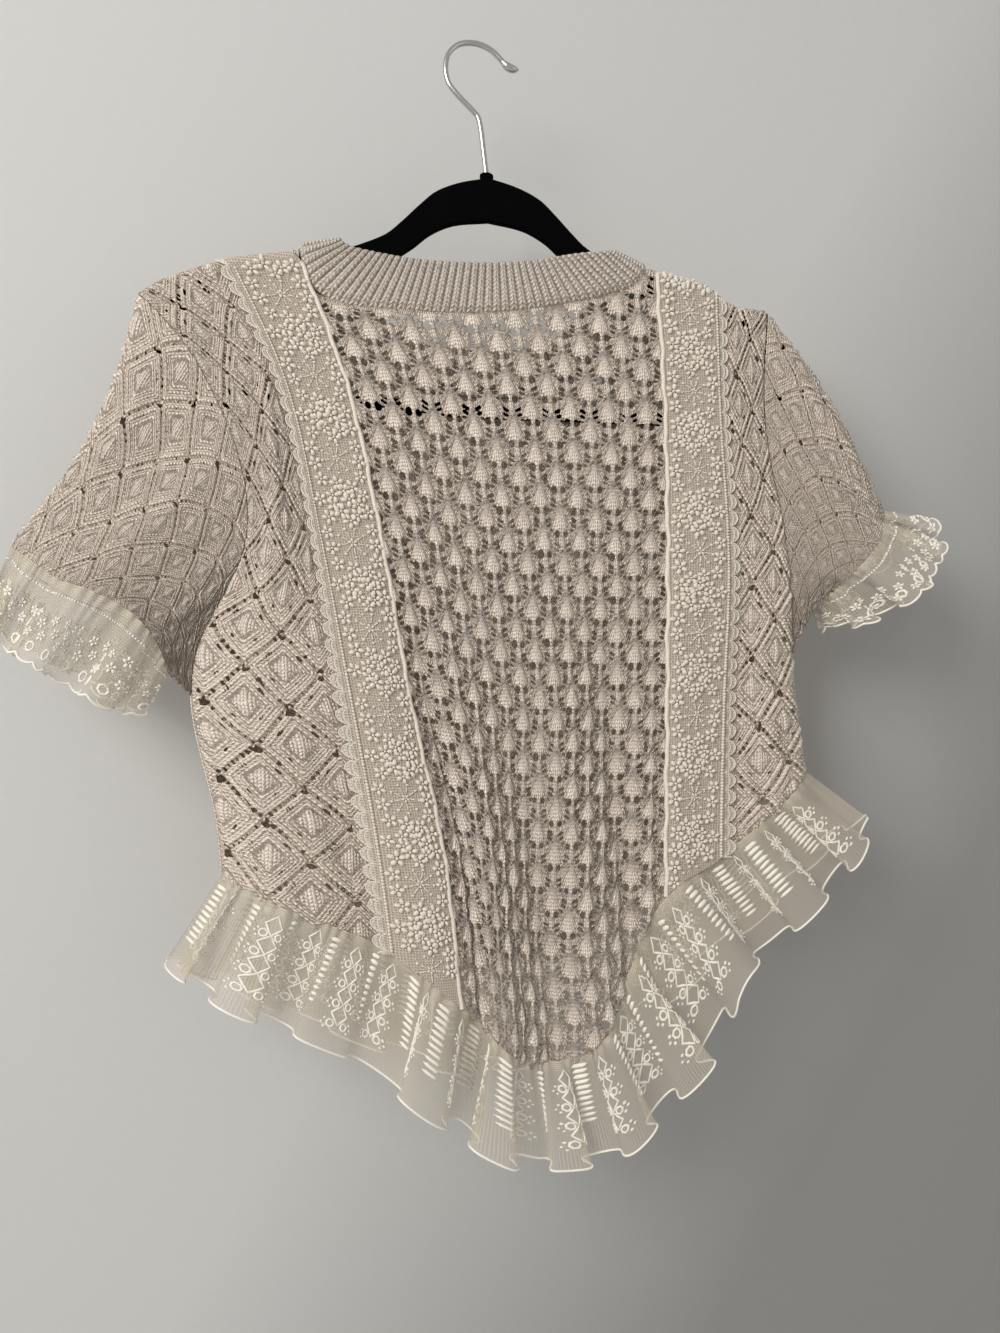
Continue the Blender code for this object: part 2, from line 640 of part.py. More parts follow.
def flutes(base, edge, count, rows, wave, out, ends_closed):
    """A gathered frill between a base line and an edge line, waving more towards its edge.

    out gives the frill's outward direction at each point along it. ends_closed says that it ends
    in side seams, where the flutes fade, instead of running round in a ring.
    """
    columns = base.shape[0]
    share = np.linspace(0, 1, columns, endpoint=ends_closed)
    phase = 2 * math.pi * (count * share + FLUTE_DRIFT * np.sin(4 * math.pi * share))
    size = 1 - FLUTE_UNEVEN + FLUTE_UNEVEN * np.sin(6 * math.pi * share + 1.0)
    lean = FLUTE_TIP * np.sin(4 * math.pi * share + 0.6) * np.sin(phase) - FLUTE_BULGE * np.sin(2 * phase)
    if ends_closed:
        size = size * np.clip(np.minimum(share, 1 - share) / FLUTE_FADE, 0, 1)
        along = np.gradient(edge, axis=0)
    else:
        along = np.roll(edge, -1, axis=0) - np.roll(edge, 1, axis=0)
    along /= np.linalg.norm(along, axis=1, keepdims=True)
    layers = []
    for w in np.linspace(0, 1, rows):
        swell = wave * (FLUTE_AT_SEAM + (1 - FLUTE_AT_SEAM) * w**0.8) * size
        wave_out = out * (swell * np.sin(phase))[:, None]
        layers.append(base + (edge - base) * w + wave_out + along * (swell * lean)[:, None])
    return np.array(layers)


def make_hem_ruffle(name, panel, rows, edge_xz):
    """The gathered tulle ruffle sewn under a hem."""
    columns = HEM_FLUTES * POINTS_PER_FLUTE + 1
    u = np.linspace(HALF_SEAM, WIDTH - HALF_SEAM, 300)
    runs = runs_along(panel.surface(u, panel.hem(u)))
    u = np.interp(np.linspace(0, runs[-1], columns), runs, u)
    base = panel.surface(u, panel.hem(u) + RUFFLE_GAP)
    away = np.clip(np.minimum(u, WIDTH - u) / EDGE_ROUND, 0, 1)
    xz = edge_xz(u, base)
    edge = np.stack([xz[:, 0], base[:, 1] + panel.towards * RUFFLE_FLARE * away, xz[:, 1]], 1)
    out = np.broadcast_to(np.array([0.0, panel.towards, 0.0]), base.shape)
    points = flutes(base, edge, HEM_FLUTES, rows, HEM_WAVE, out, True)
    grid_wall(name, points, TULLE_WALL, "tulle")


def back_edge(u, base):
    """Free edge of the back's ruffle."""
    return through([row[0] for row in HEM_EDGE], [row[1:] for row in HEM_EDGE], u)


def front_edge(u, base):
    """Free edge of the front's ruffle, which meets the back's at both side seams."""
    sides = np.array([0.0, WIDTH])
    reach = back_edge(sides, None) - BACK.xz(sides, BACK.hem(sides))
    share = (u / WIDTH)[:, None]
    drop = reach[0] * (1 - share) + reach[1] * share
    belly = np.sin(math.pi * u / WIDTH)
    drop[:, 1] = drop[:, 1] * (1 - belly) - FRONT_DROP * belly
    return base[:, [0, 2]] + drop


def ring_of(line, depth, shares):
    """A flattened ring round a line of x, z: down its back layer and up its front one."""
    swell = depth * np.sin(math.pi * (shares + RING_FOLD) / (1 + 2 * RING_FOLD))
    xz = line_through(line, shares)
    back = np.stack([xz[:, 0], -swell, xz[:, 1]], 1)
    front = np.stack([xz[:, 0], swell, xz[:, 1]], 1)
    return np.concatenate([back, front[::-1]])


def make_sleeve(spec):
    """A short sleeve from the armhole to the cuff seam, and the gathered ruffle sewn to it."""
    shares = np.array(SLEEVE_AROUND)
    v = spec["arm_from"] + (spec["arm_to"] - spec["arm_from"]) * shares
    u = np.full_like(v, spec["edge"])
    back, front = BACK.surface(u, v), FRONT.surface(u, v)
    along = np.gradient(back, axis=0)
    outward = np.stack([-along[:, 2], np.zeros_like(v), along[:, 0]], 1)
    outward *= spec["out"] / np.linalg.norm(outward, axis=1, keepdims=True)
    arm = np.concatenate([back + outward * ARMHOLE_GAP, (front + outward * ARMHOLE_GAP)[::-1]])
    cuff = ring_of(spec["cuff"], spec["cuff_depth"], shares)
    upper = np.concatenate([(1 - shares) ** 2, ((1 - shares) ** 2)[::-1]])[:, None]
    sag = np.array([spec["top_sag"][0], 0.0, spec["top_sag"][1]])
    rings = []
    for w in np.linspace(0, 1, SLEEVE_RINGS + 1):
        rings.append(arm * (1 - w) + cuff * w + sag * upper * math.sin(math.pi * w))
    grid_wall("sleeve_" + spec["side"], np.array(rings), KNIT_WALL, "knit", closed=True)

    half = CUFF_FLUTES * POINTS_PER_FLUTE // 2 + 1
    steps = (np.arange(half) + 0.5) / half
    base = ring_of(spec["cuff"], spec["cuff_depth"], steps)
    edge = ring_of(spec["edge_line"], spec["edge_depth"], steps)
    reach = edge - base
    base = base + reach * (RUFFLE_GAP / np.linalg.norm(reach, axis=1, keepdims=True))
    round_ring = np.roll(edge, -1, axis=0) - np.roll(edge, 1, axis=0)
    out = np.cross(round_ring, reach)
    out /= np.linalg.norm(out, axis=1, keepdims=True)
    points = flutes(base, edge, CUFF_FLUTES, 3, CUFF_WAVE, out, False)
    grid_wall("cuff_ruffle_" + spec["side"], points, TULLE_WALL, "tulle", closed=True)


def make_hanger():
    """The velvet hanger: one flat outline with its gap, softened along its edges."""
    curve = bpy.data.curves.new("hanger_body", "CURVE")
    curve.dimensions = "2D"
    curve.fill_mode = "BOTH"
    curve.extrude = (HANGER_THICK / 2 - HANGER_ROUND) * MM
    curve.bevel_depth = HANGER_ROUND * MM
    curve.bevel_resolution = 1
    curve.offset = -HANGER_ROUND * MM
    for outline in (HANGER_TOP, HANGER_GAP):
        right = [(HANGER_MIDDLE + out, z) for out, z in outline]
        left = [(HANGER_MIDDLE - out, z) for out, z in outline[:0:-1]]
        spline = curve.splines.new("POLY")
        spline.points.add(len(right) + len(left) - 1)
        for point, (x, z) in zip(spline.points, right + left):
            point.co = (x * MM, z * MM, 0, 1)
        spline.use_cyclic_u = True
    hanger = new_object("hanger_body", curve, "velvet")
    hanger.rotation_euler = (math.radians(90), 0, 0)


def make_hook():
    """The steel hook: one bent wire, ending in a small ball, standing in the hanger's neck."""
    curve = bpy.data.curves.new("hanger_hook", "CURVE")
    curve.dimensions = "3D"
    curve.bevel_depth = HOOK_WIRE / 2 * MM
    curve.bevel_resolution = 2
    curve.use_fill_caps = True
    line = line_through(HOOK, np.linspace(0, 1, HOOK_POINTS))
    spline = curve.splines.new("POLY")
    spline.points.add(len(line) - 1)
    radius = np.ones(len(line))
    radius[-4:] = (1.0, 1.25, 1.5, 1.1)
    for point, (x, z), size in zip(spline.points, line, radius):
        point.co = (x * MM, 0, z * MM, 1)
        point.radius = size
    new_object("hanger_hook", curve, "steel")


for old in list(bpy.data.objects):
    bpy.data.objects.remove(old)
part = bpy.data.collections.new(COLLECTION)
bpy.context.scene.collection.children.link(part)

make_back_centre()
make_back_side("left", LEFT_SIDE_COLUMNS, (1, 2))
make_back_side("right", RIGHT_SIDE_COLUMNS, (3, 4))
make_front()
make_neckband()
make_lace_band("left", 105.5, 86.0, 66.0, 44.0)
make_lace_band("right", 338.5, 358.0, 378.0, 395.0)
make_hem_ruffle("hem_ruffle_back", BACK, 4, back_edge)
make_hem_ruffle("hem_ruffle_front", FRONT, 3, front_edge)
for sleeve in SLEEVES:
    make_sleeve(sleeve)
make_hanger()
make_hook()
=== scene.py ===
"""A lace-knit crop top with tulle ruffles, hung on a slim flocked hanger and seen from its back.

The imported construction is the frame, and every piece here is laid on its form. The garment hangs
in the XZ plane with its back towards -Y. Sizes are in millimetres and become metres in the meshes.
"""
import math

import bmesh
import bpy
import numpy as np
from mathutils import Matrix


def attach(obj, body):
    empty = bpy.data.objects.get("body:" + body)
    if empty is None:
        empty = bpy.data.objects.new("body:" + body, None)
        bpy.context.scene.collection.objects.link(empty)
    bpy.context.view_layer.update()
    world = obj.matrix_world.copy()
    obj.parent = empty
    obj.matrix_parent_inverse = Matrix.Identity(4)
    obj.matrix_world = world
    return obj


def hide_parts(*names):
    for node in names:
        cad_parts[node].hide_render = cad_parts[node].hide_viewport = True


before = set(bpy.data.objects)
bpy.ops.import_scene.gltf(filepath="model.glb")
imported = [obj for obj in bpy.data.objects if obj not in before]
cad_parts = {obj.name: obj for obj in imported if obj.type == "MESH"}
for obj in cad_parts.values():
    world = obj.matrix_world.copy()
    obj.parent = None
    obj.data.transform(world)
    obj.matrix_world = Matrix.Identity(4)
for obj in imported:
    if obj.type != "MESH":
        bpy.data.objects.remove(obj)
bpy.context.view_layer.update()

# ================================================================ hanger
# The hanger is one moulded body with a raised rim, flocked in black all over. Its hook is a bent
# steel wire that turns in the hanger's neck and ends in a small ball.
MM = 0.001
HANGER_MIDDLE = 10.5
HANGER_THICK = 5.4
HANGER_ROUND = 1.9
HANGER_TOP = (
    # distance out, z
    (0, -86), (20, -91), (35, -98), (45, -107), (57, -119), (66, -127), (80, -134), (93, -139),
    (125, -147), (150, -154), (175, -162), (195, -171), (210, -184), (216, -196), (217, -212),
    (212, -230), (203, -240), (188, -243),
)
HANGER_GAP = (
    (0, -115), (24, -119), (38, -126), (50, -136), (66, -146), (93, -153), (125, -161), (150, -168),
    (175, -177), (191, -187), (200, -199), (202, -212), (198, -226), (188, -233),
)
HOOK_WIRE = 3.6
HOOK = (
    # x, z of the wire's centre, from the hanger's neck round the hook to the ball
    (9.6, -84.5), (7.4, -67), (5.6, -53), (3.8, -46), (-1.0, -41), (-10.5, -32), (-15.5, -25.5),
    (-17.4, -17), (-15.5, -7), (-9, -0.2), (0, 1.9), (8, 0.6), (14, -2.4), (19, -7), (23, -10.8),
    (27, -12.4), (31, -12.6),
)
HANGER_POINTS = 90
HOOK_POINTS = 110
BALL_POINTS = 10
BALL_SIZE = 1.5
COLLAR_MIDDLE = 9.6
COLLAR_RADIUS = 4.6
COLLAR_FLATNESS = 0.58
COLLAR_SIDES = 24
# z and share of the radius, from the collar's foot up
COLLAR = ((-88.0, 0.95), (-84.6, 1.0), (-83.4, 0.92), (-82.6, 0.66), (-82.3, 0.4))
BLACK_FLOCK = (0.0012, 0.0012, 0.0013, 1.0)
DUSTY_FLOCK = (0.006, 0.006, 0.006, 1.0)
STEEL = (0.56, 0.55, 0.53, 1.0)


def through(stations, values, at):
    """A smooth curve through the values at the stations, read at other places."""
    stations = np.asarray(stations, float)
    values = np.asarray(values, float)
    at = np.clip(np.asarray(at, float), stations[0], stations[-1])
    steps = np.diff(stations)
    slopes = np.diff(values, axis=0) / steps.reshape((-1,) + (1,) * (values.ndim - 1))
    tangents = np.concatenate([slopes[:1], 0.5 * (slopes[1:] + slopes[:-1]), slopes[-1:]])
    k = np.clip(np.searchsorted(stations, at, side="right") - 1, 0, len(steps) - 1)
    shape = k.shape + (1,) * (values.ndim - 1)
    h = steps[k].reshape(shape)
    t = ((at - stations[k]) / steps[k]).reshape(shape)
    return ((2 * t**3 - 3 * t**2 + 1) * values[k] + (t**3 - 2 * t**2 + t) * h * tangents[k]
            + (3 * t**2 - 2 * t**3) * values[k + 1] + (t**3 - t**2) * h * tangents[k + 1])


def runs_along(points):
    """Distance along a line of points."""
    return np.concatenate([[0.0], np.cumsum(np.linalg.norm(np.diff(points, axis=0), axis=1))])


def line_through(points, shares):
    """Points at the given shares of a smooth open curve's length."""
    points = np.asarray(points, float)
    runs = runs_along(points)
    return through(runs, points, np.asarray(shares) * runs[-1])


def add(tree, kind, feed=None, **settings):
    """Put a node in a tree, with its settings and with values or links fed to its inputs."""
    made = tree.nodes.new(kind)
    for name, value in settings.items():
        setattr(made, name, value)
    for name, value in (feed or {}).items():
        if isinstance(value, bpy.types.NodeSocket):
            tree.links.new(value, made.inputs[name])
        else:
            made.inputs[name].default_value = value
    return made


def calc(tree, operation, *values, clamp=False):
    """The output of a Math node fed with the values."""
    feed = dict(enumerate(values))
    return add(tree, "ShaderNodeMath", feed, operation=operation, use_clamp=clamp).outputs[0]


def blended(tree, factor, first, second):
    """The output of a colour Mix node."""
    mix = add(tree, "ShaderNodeMix", data_type="RGBA")
    for socket, value in ((mix.inputs[0], factor), (mix.inputs[6], first), (mix.inputs[7], second)):
        if isinstance(value, bpy.types.NodeSocket):
            tree.links.new(value, socket)
        else:
            socket.default_value = value
    return mix.outputs[2]


def new_finish(name, **fixed):
    """A material with its Principled shader's plain values set, and that shader."""
    material = bpy.data.materials.new(name)
    material.use_nodes = True
    shader = material.node_tree.nodes["Principled BSDF"]
    for socket, value in fixed.items():
        shader.inputs[socket.replace("_", " ")].default_value = value
    return material, shader


def bumped(tree, shader, height, strength, distance):
    """Feed a height to a shader's normal through a Bump node."""
    bump = add(tree, "ShaderNodeBump", {"Height": height, "Strength": strength, "Distance": distance})
    tree.links.new(bump.outputs[0], shader.inputs["Normal"])


def shown(name, mesh, material):
    """Put a finished mesh in the scene as a piece that rides on the frame."""
    obj = bpy.data.objects.new(name, mesh)
    bpy.context.scene.collection.objects.link(obj)
    mesh.materials.clear()
    mesh.materials.append(material)
    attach(obj, "root")
    return obj


def mesh_of(name, points, faces, smooth=True):
    """A mesh from points in millimetres."""
    mesh = bpy.data.meshes.new(name)
    mesh.from_pydata((np.asarray(points) * MM).tolist(), [], faces)
    mesh.polygons.foreach_set("use_smooth", [smooth] * len(mesh.polygons))
    mesh.update()
    return mesh


def turned_curve_mesh(name, curve, upright=True):
    """A curve's finished mesh, stood up in the XZ plane if it was drawn flat."""
    drawn = bpy.data.objects.new(name + "_drawn", curve)
    bpy.context.scene.collection.objects.link(drawn)
    evaluated = drawn.evaluated_get(bpy.context.evaluated_depsgraph_get())
    mesh = bpy.data.meshes.new_from_object(evaluated)
    bpy.data.objects.remove(drawn)
    bm = bmesh.new()
    bm.from_mesh(mesh)
    bmesh.ops.remove_doubles(bm, verts=bm.verts, dist=1e-6)
    if upright:
        for vertex in bm.verts:
            vertex.co = (vertex.co.x, -vertex.co.z, vertex.co.y)
    bmesh.ops.recalc_face_normals(bm, faces=bm.faces)
    bm.to_mesh(mesh)
    bm.free()
    return mesh


def flocking():
    """Short black pile: a matt ground with a soft bloom, and dust caught in its grain."""
    material, shader = new_finish("black_flocking", Roughness=0.95, Specular_IOR_Level=0.03,
                                  Sheen_Weight=0.005)
    tree = material.node_tree
    place = add(tree, "ShaderNodeTexCoord").outputs["Object"]
    grain = add(tree, "ShaderNodeTexNoise", {"Vector": place, "Scale": 2600.0, "Detail": 3.0}).outputs[0]
    patches = add(tree, "ShaderNodeTexNoise", {"Vector": place, "Scale": 60.0, "Detail": 2.0}).outputs[0]
    dust = calc(tree, "MULTIPLY", calc(tree, "POWER", grain, 3.0), patches, clamp=True)
    tree.links.new(blended(tree, dust, BLACK_FLOCK, DUSTY_FLOCK), shader.inputs["Base Color"])
    bumped(tree, shader, grain, 0.6, 0.0004)
    return material


def wire_finish():
    """Bright drawn steel with faint lengthwise streaks."""
    material, shader = new_finish("bright_wire", Metallic=1.0, Base_Color=STEEL)
    tree = material.node_tree
    place = add(tree, "ShaderNodeTexCoord").outputs["Object"]
    stretched = add(tree, "ShaderNodeMapping", {"Vector": place, "Scale": (900.0, 900.0, 60.0)}).outputs[0]
    streaks = add(tree, "ShaderNodeTexNoise", {"Vector": stretched, "Scale": 1.0, "Detail": 2.0}).outputs[0]
    rough = calc(tree, "MULTIPLY_ADD", streaks, 0.16, 0.14)
    tree.links.new(rough, shader.inputs["Roughness"])
    return material


curve = bpy.data.curves.new("hanger_outline", "CURVE")
curve.dimensions = "2D"
curve.fill_mode = "BOTH"
curve.extrude = (HANGER_THICK / 2 - HANGER_ROUND) * MM
curve.bevel_depth = HANGER_ROUND * MM
curve.bevel_resolution = 4
curve.offset = -HANGER_ROUND * MM
for outline in (HANGER_TOP, HANGER_GAP):
    half = line_through(outline, np.linspace(0, 1, HANGER_POINTS))
    right = np.stack([HANGER_MIDDLE + half[:, 0], half[:, 1]], 1)
    left = np.stack([HANGER_MIDDLE - half[:0:-1, 0], half[:0:-1, 1]], 1)
    ring = np.concatenate([right, left])
    spline = curve.splines.new("POLY")
    spline.points.add(len(ring) - 1)
    spline.points.foreach_set("co", np.c_[ring * MM, np.zeros(len(ring)), np.ones(len(ring))].ravel())
    spline.use_cyclic_u = True
hanger = shown("flocked_hanger", turned_curve_mesh("flocked_hanger", curve), flocking())
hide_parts("hanger_body")

curve = bpy.data.curves.new("hook_wire", "CURVE")
curve.dimensions = "3D"
curve.bevel_depth = HOOK_WIRE / 2 * MM
curve.bevel_resolution = 5
curve.use_fill_caps = True
line = line_through(HOOK, np.linspace(0, 1, HOOK_POINTS))
spline = curve.splines.new("POLY")
spline.points.add(len(line) - 1)
from_tip = np.arange(HOOK_POINTS)[::-1] / BALL_POINTS
bulge = np.sqrt(np.clip(1 - (2 * from_tip - 1) ** 2, 0, 1)) * BALL_SIZE
sizes = np.maximum(bulge, np.where(from_tip > 0.5, 1.0, 0.3))
for point, (x, z), size in zip(spline.points, line, sizes):
    point.co = (x * MM, 0, z * MM, 1)
    point.radius = size
wire_mesh = turned_curve_mesh("steel_hook", curve, upright=False)
wire_mesh.polygons.foreach_set("use_smooth", [True] * len(wire_mesh.polygons))
hook = shown("steel_hook", wire_mesh, wire_finish())
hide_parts("hanger_hook")

around = np.linspace(0, 2 * math.pi, COLLAR_SIDES, endpoint=False)
rings = []
for z, r in COLLAR:
    across, deep = COLLAR_RADIUS * r, COLLAR_RADIUS * r * COLLAR_FLATNESS
    rings.append([(COLLAR_MIDDLE + across * math.cos(a), deep * math.sin(a), z) for a in around])
collar_faces = []
for low in range(0, COLLAR_SIDES * (len(COLLAR) - 1), COLLAR_SIDES):
    high = low + COLLAR_SIDES
    for k in range(COLLAR_SIDES):
        n = (k + 1) % COLLAR_SIDES
        collar_faces.append([low + k, low + n, high + n, high + k])
top_ring = COLLAR_SIDES * (len(COLLAR) - 1)
collar_faces += [list(range(COLLAR_SIDES))[::-1], list(range(top_ring, top_ring + COLLAR_SIDES))]
collar = shown("hanger_collar", mesh_of("hanger_collar", np.concatenate(rings), collar_faces),
               bpy.data.materials["black_flocking"])

# ================================================================ back, centre
# The centre of the back is leaf lace. Puffy knitted leaves hang in staggered columns from short
# stems, with two eyelets below each leaf and three slanting slits on each side above it. The hem
# is pointed.
WALE_STEP = 100
BACK_WALES = (
    # name            u   v_hem   z0    x0   x100  x200  x300  x400  x500
    ("left side",     0,   428,  -148, -236, -170, -142, -176, -160, -154),
    ("left lace",    66,   465,  -137, -160, -119,  -97,  -79,  -61,  -48),
    ("left cord",   106,   498,  -136, -116,  -81,  -60,  -43,  -22,  -11),
    ("centre",      222,   527,  -136,   -3,    2,   11,   23,   34,   43),
    ("right centre", 280,  507,  -136,   56,   60,   65,   70,   78,   86),
    ("right cord",  338,   420,  -136,  124,  129,  129,  127,  125,  125),
    ("right lace",  378,   398,  -136,  165,  167,  171,  166,  163,  163),
    ("right side",  430,   346,  -136,  206,  200,  217,  226,  241,  248),
)
LEFT_CORD, RIGHT_CORD, WIDTH = 106.0, 338.0, 430.0
BACK_TOP = (
    # x, z of the back's upper cut edge: shoulder, neck and shoulder
    (-216, -181), (-197, -167), (-177, -158), (-153, -150), (-130, -145.5), (-111.5, -143),
    (-111, -146), (-109, -157), (-106, -166), (-98, -171.5), (-88, -174), (-70, -175.4), (-48, -175.8),
    (3, -174.8), (52, -166.8), (92, -157), (108, -151), (114.5, -144), (118, -139.5), (134, -142.5),
    (160, -150), (184, -160), (206, -161),
)
DEPTHS = (
    # v    back  front  left edge  right edge: how far the cloth stands off between its layers
    (0,     5.0,   5.0,   0.6,   0.6),
    (26,    5.6,   5.6,   0.6,   0.6),
    (33,    5.8,   5.8,   0.6,   4.8),
    (38,    6.0,   6.0,   0.6,   5.2),
    (46,    6.4,   6.4,   5.0,   5.8),
    (90,    8.0,   7.5,   7.5,   8.0),
    (170,  11.5,  10.0,  11.0,  11.0),
    (230,  14.0,  12.0,  10.5,   7.0),
    (266,  15.0,  12.5,   8.0,   0.6),
    (316,  17.0,  13.5,   0.6,   0.6),
    (410,  20.0,  16.0,   0.6,   0.6),
    (530,  24.0,  18.0,   0.6,   0.6),
)
EDGE_Y = 0.6
EDGE_ROUND = 34.0
SHOULDER_ROUND = 4.0
BACK_FOLDS = (
    # name                 u_top u_low v_from v_to width depth
    ("sleeve fold",           26,  34,  100, 300,  13,   4.0),
    ("side roll",             14,  16,  295, 450,  11,   5.0),
    ("left lace trough",      48,  58,  310, 480,  11,  -7.5),
    ("left lace ridge",       84,  88,  130, 440,  17,   3.5),
    ("left cord trough",     120, 128,  240, 510,  10,  -8.0),
    ("centre ridge",         160, 176,  250, 540,  22,   7.0),
    ("centre trough",        214, 232,  310, 550,  15,  -5.0),
    ("right ridge",          256, 268,  260, 530,  14,   5.0),
    ("right cord trough",    292, 304,  220, 480,  12,  -8.5),
    ("right lace ridge",     350, 346,  120, 410,  16,   5.0),
    ("right side trough",    394, 388,  190, 360,  12,  -4.0),
    ("shoulder crease",       60,  22,   60, 210,   7,   2.2),
    ("yoke crease",          140, 150,   60, 230,   9,   1.4),
    ("middle crease",        196, 204,  330, 520,   6,   2.0),
    ("waist crease",         318, 322,  260, 430,   6,   2.0),
)
GRID_U = np.arange(-2.0, WIDTH + 2.1, 2.0)
GRID_V = np.arange(0.0, 561.0, 5.0)
CUT_SEARCH = np.linspace(0.0, 160.0, 3201)


class Panel:
    """A knitted panel: where its cloth lies, and its upper cut edge and hem.

    u counts the cloth across from the left side seam and v down its wales, in millimetres.
    """

    def __init__(self, wales, top, folds, depth_column, neck, towards):
        self.wales, self.folds, self.depth_column = wales, folds, depth_column
        self.neck, self.towards = neck, towards
        self.u = [row[1] for row in wales]
        self.hems = [row[2] for row in wales]
        self.grid = self.wale_grid()
        table = np.array(top, float)
        x, z = np.moveaxis(self.xz(GRID_U[:, None], CUT_SEARCH[None, :]), -1, 0)
        self.top_v = CUT_SEARCH[np.argmax(z <= np.interp(x, table[:, 0], table[:, 1]), axis=1)]

    def wale_grid(self):
        """x and z on a fine grid. The knitting keeps its length, so z follows from x's slant."""
        stations = [WALE_STEP * k for k in range(6)]
        lines_x = np.array([through(stations, row[4:], GRID_V) for row in self.wales])
        step = GRID_V[1] - GRID_V[0]
        drops = np.sqrt(step**2 - np.minimum(np.diff(lines_x, axis=1)**2, 0.9 * step**2))
        starts = np.array([[row[3]] for row in self.wales], float)
        lines_z = np.concatenate([starts, starts - np.cumsum(drops, axis=1)], axis=1)
        return np.stack([through(self.u, lines_x, GRID_U), through(self.u, lines_z, GRID_U)], axis=2)

    def xz(self, u, v):
        """x and z at cloth places u, v."""
        a = np.clip((u - GRID_U[0]) / (GRID_U[1] - GRID_U[0]), 0, len(GRID_U) - 1.001)
        b = np.clip((v - GRID_V[0]) / (GRID_V[1] - GRID_V[0]), 0, len(GRID_V) - 1.001)
        i, j = a.astype(int), b.astype(int)
        s, t = (a - i)[..., None], (b - j)[..., None]
        low = self.grid[i, j] * (1 - s) + self.grid[i + 1, j] * s
        high = self.grid[i, j + 1] * (1 - s) + self.grid[i + 1, j + 1] * s
        return low * (1 - t) + high * t

    def top(self, u):
        """v of the upper cut edge."""
        return np.interp(u, GRID_U, self.top_v)

    def hem(self, u):
        """v of the hem."""
        return through(self.u, self.hems, u)

    def surface(self, u, v):
        """Places of the panel's middle surface."""
        xz = self.xz(u, v)
        on_shoulder = (u < self.neck[0]) | (u > self.neck[1])
        below = np.where(on_shoulder, v - self.top(u), SHOULDER_ROUND)
        stations = [row[0] for row in DEPTHS]
        middle = through(stations, [row[self.depth_column] for row in DEPTHS], v)
        left = np.interp(v, stations, [row[3] for row in DEPTHS])
        right = np.interp(v, stations, [row[4] for row in DEPTHS])
        near_left = np.clip(u / EDGE_ROUND, 0, 1)
        near_right = np.clip((WIDTH - u) / EDGE_ROUND, 0, 1)
        from_left = left + (middle - left) * np.sqrt(1 - (1 - near_left) ** 2)
        from_right = right + (middle - right) * np.sqrt(1 - (1 - near_right) ** 2)
        off = np.where(u < WIDTH / 2, from_left, from_right)
        off = EDGE_Y + (off - EDGE_Y) * np.clip(below / SHOULDER_ROUND, 0, 1)
        for _, u_top, u_low, v_from, v_to, width, depth in self.folds:
            along = np.clip((v - v_from) / (v_to - v_from), 0.0, 1.0)
            swell = np.sin(0.5 * np.pi * np.minimum(along * 1.8, 1.0)) * (1.0 - 0.3 * along)
            off = off + depth * swell * np.exp(-((u - u_top - (u_low - u_top) * along) / width) ** 2)
        return np.stack([xz[..., 0], self.towards * off, xz[..., 1]], -1)

    def normals(self, u, v):
        """Unit normals out of the garment."""
        step = 1.5
        across = self.surface(u + step, v) - self.surface(u - step, v)
        normal = np.cross(across, self.surface(u, v + step) - self.surface(u, v - step))
        normal /= np.linalg.norm(normal, axis=-1, keepdims=True)
        return normal * np.where(normal[..., 1:2] * self.towards < 0, -1.0, 1.0)


BACK = Panel(BACK_WALES, BACK_TOP, BACK_FOLDS, 1, (LEFT_CORD - 2, RIGHT_CORD), -1.0)

LEAF_PITCH_U = (RIGHT_CORD - LEFT_CORD) / 16
LEAF_PITCH_V = 14.5
LEAF_SHAPE = (
    # down from the leaf's middle, half width, height
    (-9.0, 1.0, 1.2),
    (-7.0, 1.6, 2.0),
    (-4.0, 2.8, 2.8),
    (-1.0, 4.0, 3.3),
    (2.5,  5.1, 3.6),
    (5.0,  5.1, 3.5),
    (7.0,  3.8, 2.9),
    (8.6,  1.7, 1.6),
)
LEAF_SHIFT = (1.3, 1.6)
LEAF_FROM, LEAF_TO = -9, 8.6
LEAF_PLUMP = (0.85, 0.3)
STRANDS_MEET = 10
STRAND_HEIGHT = 0.4
FAN_STRANDS = 4.3
FAN_REACH = 11
FAN_HEIGHT = 0.3
STEM_HEIGHT, STEM_WIDTH = 2.7, 1.3
STEM_FROM, STEM_TO = 7, 20.5
RAIL_STARTS = (-7.5, -10.3)
RAIL_HEIGHT, RAIL_SLOPE, RAIL_LENGTH = 2.4, 1.05, 9
# out from the stem, down from the leaf's middle, half width, half height
EYELET = (3.6, 9.4, 2.1, 2.4)
OPENED = (0.78, 0.47)
LIP_HEIGHT, LIP_INSET, LIP_WIDTH = 0.7, 0.9, 0.6
SLITS = (
    # out from the stem, down from the leaf's middle, half length, half width
    (4.5, -13.0, 2.7, 1.10),
    (5.0, -9.6,  2.5, 1.00),
    (6.6, -6.3,  1.8, 0.80),
)
SLIT_SLANT = math.radians(-25)
STRAND_TURN = math.radians(13)
OPEN_WALE = 2.6
ROW_HEIGHT = 2.3
LEAF_GRID = (214, 396)
YARN_SLUB = 0.45
HEM_POINTS = 2.4
EVEN_DOWN_TO = 450.0
EVEN_FADE = 150.0
PLAIN_SIDE, PLAIN_TOP, PLAIN_HEM = 1.5, 4.5, 2.5
WARM_YARN = (0.95, 0.84, 0.725, 1.0)
# YARN_SHADE is the colour of the painted shade in the knit's gaps and hollows.
YARN_SHADE = (0.30, 0.225, 0.16, 1.0)
COTTON_GLOW = (0.85, 0.66, 0.48, 1.0)


def chance(i, j, salt):
    """A steady random share from 0 to 1 for each place i, j of a repeat."""
    mixed = np.sin(i * 127.1 + j * 311.7 + salt * 74.7) * 43758.5453
    return mixed - np.floor(mixed)


